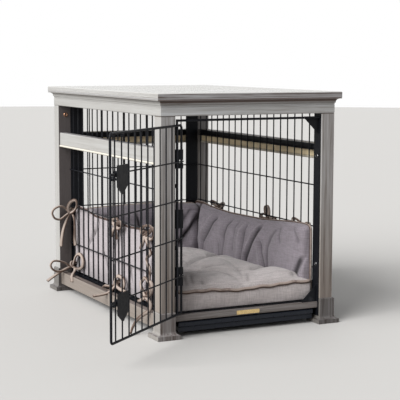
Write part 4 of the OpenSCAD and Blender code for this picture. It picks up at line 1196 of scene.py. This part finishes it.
class CRATE_OT_bolsters(Operator):
    """Make the three bolsters and their piping."""

    bl_idname = "crate.bolsters"
    bl_label = "Bolsters"

    def execute(self, context):
        bedding = context.scene.crate_bedding
        grey = (woven_cloth("cloth_bolster", bedding.linen),
                piping_cloth("cloth_bolster_piping", bedding, bedding.piping_lit))
        # The left bolster and its piping take the paler linen copy: painted light
        pale = (woven_cloth("cloth_bolster_lit", bedding.linen_lit),
                piping_cloth("cloth_lit_piping", bedding, bedding.linen_lit))
        for side in BOLSTERS:
            make_bolster(side, bedding, *(pale if side == "left" else grey))
        return {"FINISHED"}


# Ties

def smooth_route(points, steps, closed=False):
    """Rounds a route of given points into short steps that pass through them all."""
    count = len(points)
    pts = [Vector(p) * MM for p in points]
    route = []
    for i in range(count if closed else count - 1):
        a = pts[i - 1] if closed or i > 0 else 2 * pts[0] - pts[1]
        b = pts[i]
        c = pts[(i + 1) % count]
        d = pts[(i + 2) % count] if closed or i + 2 < count else 2 * c - b
        for k in range(steps):
            t = k / steps
            route.append(0.5 * (2 * b + (c - a) * t + (2 * a - 5 * b + 4 * c - d) * t * t
                                + (3 * b - a - 3 * c + d) * t ** 3))
    if not closed:
        route.append(pts[-1])
    return route


def tape(route, across, ties, turn=0.0, closed=False):
    """Mesh of a tape along a route. across is the way that its width lies in at the start,
    and turn how far it twists by its end."""
    half_w = ties.width / 2
    half_t = ties.thickness / 2
    section = [(half_w * math.cos(math.radians(angle)), half_t * math.sin(math.radians(angle)))
               for angle in range(-168, 192, 24)]
    mesh = bmesh.new()
    layer = mesh.loops.layers.uv.new("UVMap")
    wide = Vector(across)
    rings, lengths, length = [], [], 0.0
    count = len(route)
    for i, place in enumerate(route):
        before = route[i - 1] if closed or i > 0 else place
        after = route[(i + 1) % count] if closed or i + 1 < count else place
        ahead = (after - before).normalized()
        wide = (wide - wide.dot(ahead) * ahead).normalized()
        spun = Matrix.Rotation(turn * i / max(1, count - 1), 3, ahead) @ wide
        up = ahead.cross(spun)
        if i:
            length += (place - route[i - 1]).length
        lengths.append(length)
        rings.append([mesh.verts.new(place + u * spun + v * up) for u, v in section])
    size = len(section)
    pairs = list(zip(range(count - 1), range(1, count)))
    if closed:
        pairs.append((count - 1, 0))
    for i, j in pairs:
        run = (lengths[i], lengths[j] if j else length + ties.width)
        for k in range(size):
            m = (k + 1) % size
            face = mesh.faces.new([rings[i][k], rings[i][m], rings[j][m], rings[j][k]])
            for loop, (spot, which) in zip(face.loops, ((run[0], k), (run[0], m),
                                                        (run[1], m), (run[1], k))):
                share = (section[which][0] + half_w) / ties.width
                loop[layer].uv = (spot / ties.width, share)
    if not closed:
        mesh.faces.new(list(reversed(rings[0])))
        mesh.faces.new(rings[-1])
    return mesh


OUT, UP, ALONG = (1.0, 0.0, 0.0), (0.0, 0.0, 1.0), (0.0, 1.0, 0.0)
# Bows of the left side, from the back to the front. Each tape is a route in millimetres, with
# x measured outwards; then the way that its width lies in, and its twist in turns
LEFT_BOWS = {
    "left_back_upper": [
        ([(214, 323, 243), (225, 323, 238), (240, 322, 252), (256, 322, 257), (273, 323, 250),
          (279, 324, 237), (271, 324, 222), (255, 324, 218), (240, 323, 227), (224, 323, 238),
          (214, 321, 244)], ALONG, 0.0),
        ([(215, 322, 240), (226, 319, 236), (232, 317, 252), (226, 315, 267), (216, 308, 275),
          (214.5, 292, 273), (215, 290, 258), (218, 304, 243), (224, 318, 236)], UP, 0.12),
        ([(222, 322, 238), (230, 323, 226), (238, 324, 206), (246, 324, 182), (251, 323, 156),
          (253, 322, 137)], ALONG, 0.15),
        ([(219, 320, 237), (217, 305, 219), (217, 300, 190), (216.5, 304, 160),
          (216, 300, 140)], ALONG, -0.3),
    ],
    "left_back_lower": [
        ([(214, 322, 78), (226, 323, 76), (240, 323, 86), (260, 323, 93), (277, 324, 94),
          (286, 324, 83), (279, 324, 69), (262, 323, 62), (240, 323, 66), (222, 323, 73)],
         ALONG, 0.0),
        ([(216, 322, 76), (217, 312, 88), (216, 300, 106), (216, 280, 117), (216, 256, 118),
          (216, 240, 105), (216, 242, 88), (216, 262, 77), (217, 290, 72), (219, 316, 74)],
         UP, 0.1),
        ([(221, 322, 74), (238, 323, 69), (263, 324, 56), (282, 324, 45), (297, 323, 36)],
         ALONG, 0.1),
        ([(218, 300, 72), (226, 282, 66), (238, 264, 63), (246.5, 252, 56), (247, 246, 42)],
         ALONG, 0.1),
    ],
    "left_middle_upper": [
        ([(214, -19, 243), (219, -24, 241), (221, 1, 247), (220, -8, 258), (219, -36, 259),
          (219, -34, 243)], OUT, 0.1),
        ([(219, -24, 242), (221, -59, 256), (221, -68, 243), (219, -40, 234), (217, -22, 240)],
         OUT, 0.15),
        ([(219, -24, 239), (224, -12, 226), (223, 2, 208)], ALONG, 0.2),
        ([(219, -22, 239), (224, -34, 224), (222, -40, 205)], ALONG, -0.2),
    ],
    "left_middle_lower": [
        ([(214, -19, 83), (219, -24, 78), (221, -21, 92), (221, -43, 104), (220, -71, 101),
          (219, -78, 84), (218, -50, 68), (218, -26, 76)], OUT, 0.1),
        ([(219, -22, 78), (222, 15, 66), (222, 52, 62), (221, 66, 52), (219, 30, 52),
          (218, -16, 72)], OUT, 0.1),
        ([(220, -20, 74), (232, -20, 62), (246, -19, 54), (266, -19, 51), (285, -19, 50)],
         ALONG, 0.05),
        ([(220, -24, 74), (222, -60, 70), (223, -96, 70)], UP, 0.2),
    ],
    "left_front_upper": [
        ([(214, -209, 243), (219, -214, 240), (222, -203, 247), (222, -208, 258),
          (220, -235, 267), (219, -260, 266), (219, -254, 253), (218, -228, 240)], OUT, 0.08),
        ([(219, -216, 240), (223, -260, 256), (223, -280, 266), (221, -284, 251),
          (219, -260, 234), (218, -228, 236)], OUT, 0.1),
        ([(220, -222, 238), (223, -252, 216), (223, -263, 200), (223, -240, 181),
          (223, -250, 164), (223, -260, 148), (223, -252, 128)], ALONG, 1.6),
        ([(220, -220, 238), (223, -214, 220), (223, -202, 204)], ALONG, 0.3),
    ],
    "left_front_lower": [
        ([(214, -209, 82), (219, -222, 78), (221, -208, 92), (221, -197, 110),
          (220, -221, 128), (220, -246, 117), (219, -253, 93), (218, -232, 78)], OUT, 0.08),
        ([(219, -216, 78), (223, -262, 92), (223, -271, 116), (221, -254, 124),
          (219, -246, 104), (218, -226, 80)], OUT, 0.1),
        ([(220, -226, 77), (228, -268, 73), (240, -300, 69), (250, -312, 61),
          (262, -303, 50), (275, -295, 37), (287, -296, 20), (297, -306, 7.5)], ALONG, 0.4),
        ([(220, -220, 76), (223, -206, 68), (228, -196, 63)], ALONG, 0.2),
    ],
}
# Upper bows of the right side, set down in the same way
RIGHT_BOWS = {
    "right_back_upper": [
        ([(214, 209, 243), (219, 214, 247), (221, 240, 254), (221, 264, 256), (220, 264, 250),
          (219, 226, 244)], OUT, 0.05),
        ([(219, 208, 246), (221, 200, 255), (221, 190, 257), (220, 189, 250), (218, 202, 243)],
         OUT, 0.05),
        ([(219, 208, 242), (223, 216, 222), (223, 222, 196)], ALONG, 0.1),
        ([(219, 206, 242), (223, 200, 220), (223, 194, 198)], ALONG, -0.1),
    ],
    "right_middle_upper": [
        ([(214, -95, 243), (218, -90, 249), (220, -72, 262), (220, -73, 276), (219, -86, 277),
          (218, -95, 265), (217, -95, 251)], OUT, 0.05),
        ([(218, -95, 248), (221, -68, 254), (221, -48, 250), (220, -52, 243), (218, -84, 243)],
         OUT, 0.05),
        ([(219, -96, 247), (222, -110, 249), (223, -126, 247)], UP, 0.1),
        ([(219, -94, 243), (223, -90, 222), (223, -84, 200)], ALONG, 0.1),
    ],
    "right_front_upper": [
        ([(214, -285, 243), (219, -280, 249), (221, -252, 258), (221, -229, 261),
          (220, -231, 252), (218, -266, 246)], OUT, 0.05),
        ([(219, -286, 249), (221, -296, 256), (221, -308, 256), (220, -308, 249),
          (218, -294, 244)], OUT, 0.05),
        ([(219, -284, 243), (223, -278, 222), (223, -270, 196)], ALONG, 0.1),
        ([(219, -287, 243), (223, -294, 224), (223, -302, 204)], ALONG, -0.1),
    ],
}
# The right side's lower bows are the left side's, moved along by so many millimetres and
# reaching half as far outwards
LOWER_REACH = 0.5
LOWER_FROM_LEFT = {"right_back_lower": ("left_back_lower", -114),
                   "right_middle_lower": ("left_middle_lower", -76),
                   "right_front_lower": ("left_middle_lower", -266)}
# Place along Y of each bow's wire, heights of the bows, and the wires' distance from the middle,
# in millimetres
BOW_WIRES = {"left_back": 323, "left_middle": -19, "left_front": -209,
             "right_back": 209, "right_middle": -95, "right_front": -285}
BOW_HEIGHTS = {"upper": 243.8, "lower": 83.8}
WIRE_X = 210
# Radius, rise and steps of the two turns round the wire
WRAP_R, WRAP_RISE, WRAP_STEPS = 3.0, 7.0, 24
# How far the knot stands out from the wire, before it and below the bow's height, then the
# knot's reach outwards, along the side and upwards, and its steps
KNOT_OUT, KNOT_BACK, KNOT_LOW = 8.5, 1.5, 2
KNOT_REACH = (4.6, 2.0, 6.4)
KNOT_STEPS = 16


def wrap_route(wire_y, height):
    """Two turns of tape round the wire."""
    ring = []
    for k in range(WRAP_STEPS):
        angle = 4 * math.pi * k / WRAP_STEPS
        ring.append((WIRE_X + WRAP_R * math.cos(angle), wire_y + WRAP_R * math.sin(angle),
                     height + WRAP_RISE * (k / (WRAP_STEPS - 1) - 0.5)))
    return ring


def knot_route(wire_y, height):
    """Turn of tape over the crossing of the loops, outside the wire."""
    out, aside, rise = KNOT_REACH
    ring = []
    for k in range(KNOT_STEPS):
        angle = 2 * math.pi * k / KNOT_STEPS
        ring.append((WIRE_X + KNOT_OUT + out * math.cos(angle),
                     wire_y - KNOT_BACK + aside * math.sin(angle),
                     height - KNOT_LOW + rise * math.sin(angle)))
    return ring


def make_bow(name, tapes, wire_y, height, side, ties, material, node):
    """Joins the tapes of one bow into a piece. side is -1 on the left and 1 on the right."""
    flip = Vector((side, 1.0, 1.0))
    whole = bmesh.new()
    scratch = bpy.data.meshes.new("tape")
    runs = [(route, across, turn, False) for route, across, turn in tapes]
    runs.append((wrap_route(wire_y, height), UP, 0.0, False))
    runs.append((knot_route(wire_y, height), ALONG, 0.0, True))
    for route, across, turn, closed in runs:
        turned = [Vector(point) * flip for point in route]
        path = smooth_route(turned, ties.steps, closed)
        part = tape(path, Vector(across), ties, 2 * math.pi * turn * side, closed)
        part.to_mesh(scratch)
        part.free()
        whole.from_mesh(scratch)
    bmesh.ops.recalc_face_normals(whole, faces=whole.faces)
    bpy.data.meshes.remove(scratch)
    bow = object_from(name, whole)
    bpy.ops.object.shade_smooth()
    finish_piece(bow, "crate", "tie_fabric", material, node)


class CRATE_OT_ties(Operator):
    """Tie the bedding to the wires with twelve bows."""

    bl_idname = "crate.ties"
    bl_label = "Ties"

    def execute(self, context):
        ties = context.scene.crate_ties
        material = tape_cloth("cloth_tape", ties)
        bows = {**LEFT_BOWS, **RIGHT_BOWS}
        for name, (source, shift) in LOWER_FROM_LEFT.items():
            bows[name] = [([(WIRE_X + LOWER_REACH * (x - WIRE_X), y + shift, z)
                            for x, y, z in route], across, turn)
                          for route, across, turn in LEFT_BOWS[source]]
        for name, tapes in bows.items():
            place, level = name.rsplit("_", 1)
            side = -1 if name.startswith("left") else 1
            node = "ties_left" if side < 0 else "ties_right"
            make_bow(f"bow_{name}", tapes, BOW_WIRES[place], BOW_HEIGHTS[level], side, ties,
                     material, node)
        return {"FINISHED"}


# Small fittings: the keepers' hole, place along Y and heights, then the eyelet's hole and its
# place across the back left post and up it
KEEPER_HOLE_R = 0.0036
KEEPER_Y = -0.36515
KEEPER_HEIGHTS = {"upper": 0.4424, "lower": 0.1565}
EYELET_HOLE_R = 0.0028
EYELET_X, EYELET_HEIGHT = -0.226, 0.527


def turned_ring(name, profile, centre, axis, steps=32):
    """Ring spun from a profile of (radius, height) points about an axis through its centre."""
    mesh = bmesh.new()
    turn = Vector(axis).to_track_quat("Z", "Y").to_matrix()
    rings = []
    for k in range(steps):
        angle = 2 * math.pi * k / steps
        rings.append([mesh.verts.new(Vector(centre) + turn @ Vector(
            (radius * math.cos(angle), radius * math.sin(angle), height)))
            for radius, height in profile])
    for k in range(steps):
        here, there = rings[k], rings[(k + 1) % steps]
        for i in range(len(profile)):
            j = (i + 1) % len(profile)
            mesh.faces.new([here[i], there[i], there[j], here[j]])
    bmesh.ops.recalc_face_normals(mesh, faces=mesh.faces)
    ring = object_from(name, mesh)
    bpy.ops.object.shade_smooth_by_angle(angle=math.radians(40))
    return ring


class CRATE_OT_fittings(Operator):
    """Add the keeper rings on the latch side and the eyelet on the back post."""

    bl_idname = "crate.fittings"
    bl_label = "Fittings"

    def execute(self, context):
        steel = context.scene.crate_steel
        nickel = brushed_metal("nickel", steel.nickel, 0.32, Z)
        copper = brushed_metal("copper_eyelet", steel.copper, 0.40, Z)
        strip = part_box("jamb_strip_right")[0].x
        hole, rim = KEEPER_HOLE_R, steel.keeper_r
        keeper = [(hole, 0.0), (rim, 0.0), (rim, 0.0006), (rim - 0.0008, 0.0013),
                  (hole + 0.0006, 0.0013), (hole, 0.0008)]
        for label, height in KEEPER_HEIGHTS.items():
            ring = turned_ring(f"keeper_ring_{label}", keeper, (strip, KEEPER_Y, height), (-1, 0, 0))
            finish_piece(ring, "crate", "plate_brass", nickel)
        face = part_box("post_back_left")[0].y
        hole, rim = EYELET_HOLE_R, steel.eyelet_r
        lip = [(hole, 0.0), (rim, 0.0), (rim, 0.0007), (rim - 0.0012, 0.0019),
               (hole + 0.0012, 0.0019), (hole, 0.0010)]
        eyelet = turned_ring("post_eyelet", lip, (EYELET_X, face, EYELET_HEIGHT), (0, -1, 0))
        finish_piece(eyelet, "crate", "plate_brass", copper)
        return {"FINISHED"}


# Radius of the floor
FLOOR_R = 14.0


def set_camera(stage):
    """Camera at its solved place, turned by heading, tilt and roll."""
    ahead = Vector((math.sin(stage.heading) * math.cos(stage.tilt),
                    math.cos(stage.heading) * math.cos(stage.tilt), -math.sin(stage.tilt)))
    right = Vector((math.cos(stage.heading), -math.sin(stage.heading), 0.0))
    across = math.cos(stage.roll) * right + math.sin(stage.roll) * right.cross(ahead)
    view = bpy.data.cameras.new("camera")
    view.sensor_width = 36.0
    view.lens = stage.lens
    view.clip_end = 60.0
    camera = link_object("camera", view)
    turn = Matrix((across, across.cross(ahead), -ahead)).transposed()
    camera.matrix_world = Matrix.Translation(stage.eye) @ turn.to_4x4()
    bpy.context.scene.camera = camera


def set_window(stage):
    """Soft light from the left, as from a wide window."""
    lamp = bpy.data.lights.new("window", "SUN")
    lamp.energy = stage.key_strength
    lamp.angle = stage.key_spread
    lamp.color = (1.0, 0.99, 0.98)
    window = link_object("window", lamp)
    level = math.cos(stage.key_height)
    shine = Vector((level * math.cos(stage.key_side), level * math.sin(stage.key_side),
                    -math.sin(stage.key_height)))
    window.rotation_mode = "QUATERNION"
    window.rotation_quaternion = shine.to_track_quat("-Z", "Y")


def set_sky(stage):
    """White background, with a weaker light of its own on the pieces."""
    world = bpy.data.worlds.new("studio")
    bpy.context.scene.world = world
    world.use_nodes = True
    tree = world.node_tree
    clear = seen_by(tree, "Is Camera Ray", "Is Glossy Ray", "Is Transmission Ray")
    strength = add_node(tree, "ShaderNodeMapRange",
                        {"Value": clear, "To Min": stage.sky_strength, "To Max": 1.0})
    tree.links.new(strength.outputs["Result"], tree.nodes["Background"].inputs["Strength"])
    tree.nodes["Background"].inputs["Color"].default_value = (1.0, 1.0, 1.0, 1.0)


def lay_floor(stage):
    """Plain pale floor that sends little light back up."""
    bpy.ops.object.select_all(action="DESELECT")
    bpy.ops.mesh.primitive_circle_add(vertices=64, radius=FLOOR_R, fill_type="NGON",
                                      location=(0.0, 0.0, 0.0))
    floor = bpy.context.object
    floor.name = "floor"
    material, tree, shader = start_material("floor", tuple(stage.floor_colour), 0.75, 0.25)
    plain = seen_by(tree, "Is Camera Ray", "Is Glossy Ray")
    pale = blend_colour(tree, plain, stage.floor_bounce, stage.floor_colour)
    tree.links.new(pale, shader.inputs["Base Color"])
    floor.data.materials.append(material)


class CRATE_OT_stage(Operator):
    """Set up the camera, the lamp, the sky and the pale floor."""

    bl_idname = "crate.stage"
    bl_label = "Stage"

    def execute(self, context):
        context.scene.view_settings.view_transform = "Standard"
        for part in (set_camera, set_window, set_sky, lay_floor):
            part(context.scene.crate_stage)
        return {"FINISHED"}


class CRATE_PT_sidebar(Panel):
    """Sidebar panel with the buttons that make the crate's pieces, and their settings."""

    bl_idname = "CRATE_PT_sidebar"
    bl_label = "Pet Crate"
    bl_space_type = "VIEW_3D"
    bl_region_type = "UI"
    bl_category = "Crate"

    def draw(self, context):
        column = self.layout.column()
        for maker in MAKERS:
            column.operator(maker.bl_idname)
        for name, group in SETTINGS.items():
            box = self.layout.box()
            box.label(text=group.__name__)
            for key in group.__annotations__:
                box.prop(getattr(context.scene, name), key)


MAKERS = (CRATE_OT_stage, CRATE_OT_wood, CRATE_OT_steel, CRATE_OT_seat, CRATE_OT_bolsters,
          CRATE_OT_ties, CRATE_OT_fittings)


def register():
    for group in SETTINGS.values():
        bpy.utils.register_class(group)
    for name, group in SETTINGS.items():
        setattr(bpy.types.Scene, name, PointerProperty(type=group))
    for maker in (*MAKERS, CRATE_PT_sidebar):
        bpy.utils.register_class(maker)


def unregister():
    for maker in reversed((*MAKERS, CRATE_PT_sidebar)):
        bpy.utils.unregister_class(maker)
    for name, group in SETTINGS.items():
        delattr(bpy.types.Scene, name)
        bpy.utils.unregister_class(group)


def main():
    register()
    bpy.ops.crate.stage()
    bpy.ops.crate.wood()
    bpy.ops.crate.steel()
    bpy.ops.crate.seat()
    bpy.ops.crate.bolsters()
    bpy.ops.crate.ties()
    bpy.ops.crate.fittings()


if __name__ == "__main__":
    main()
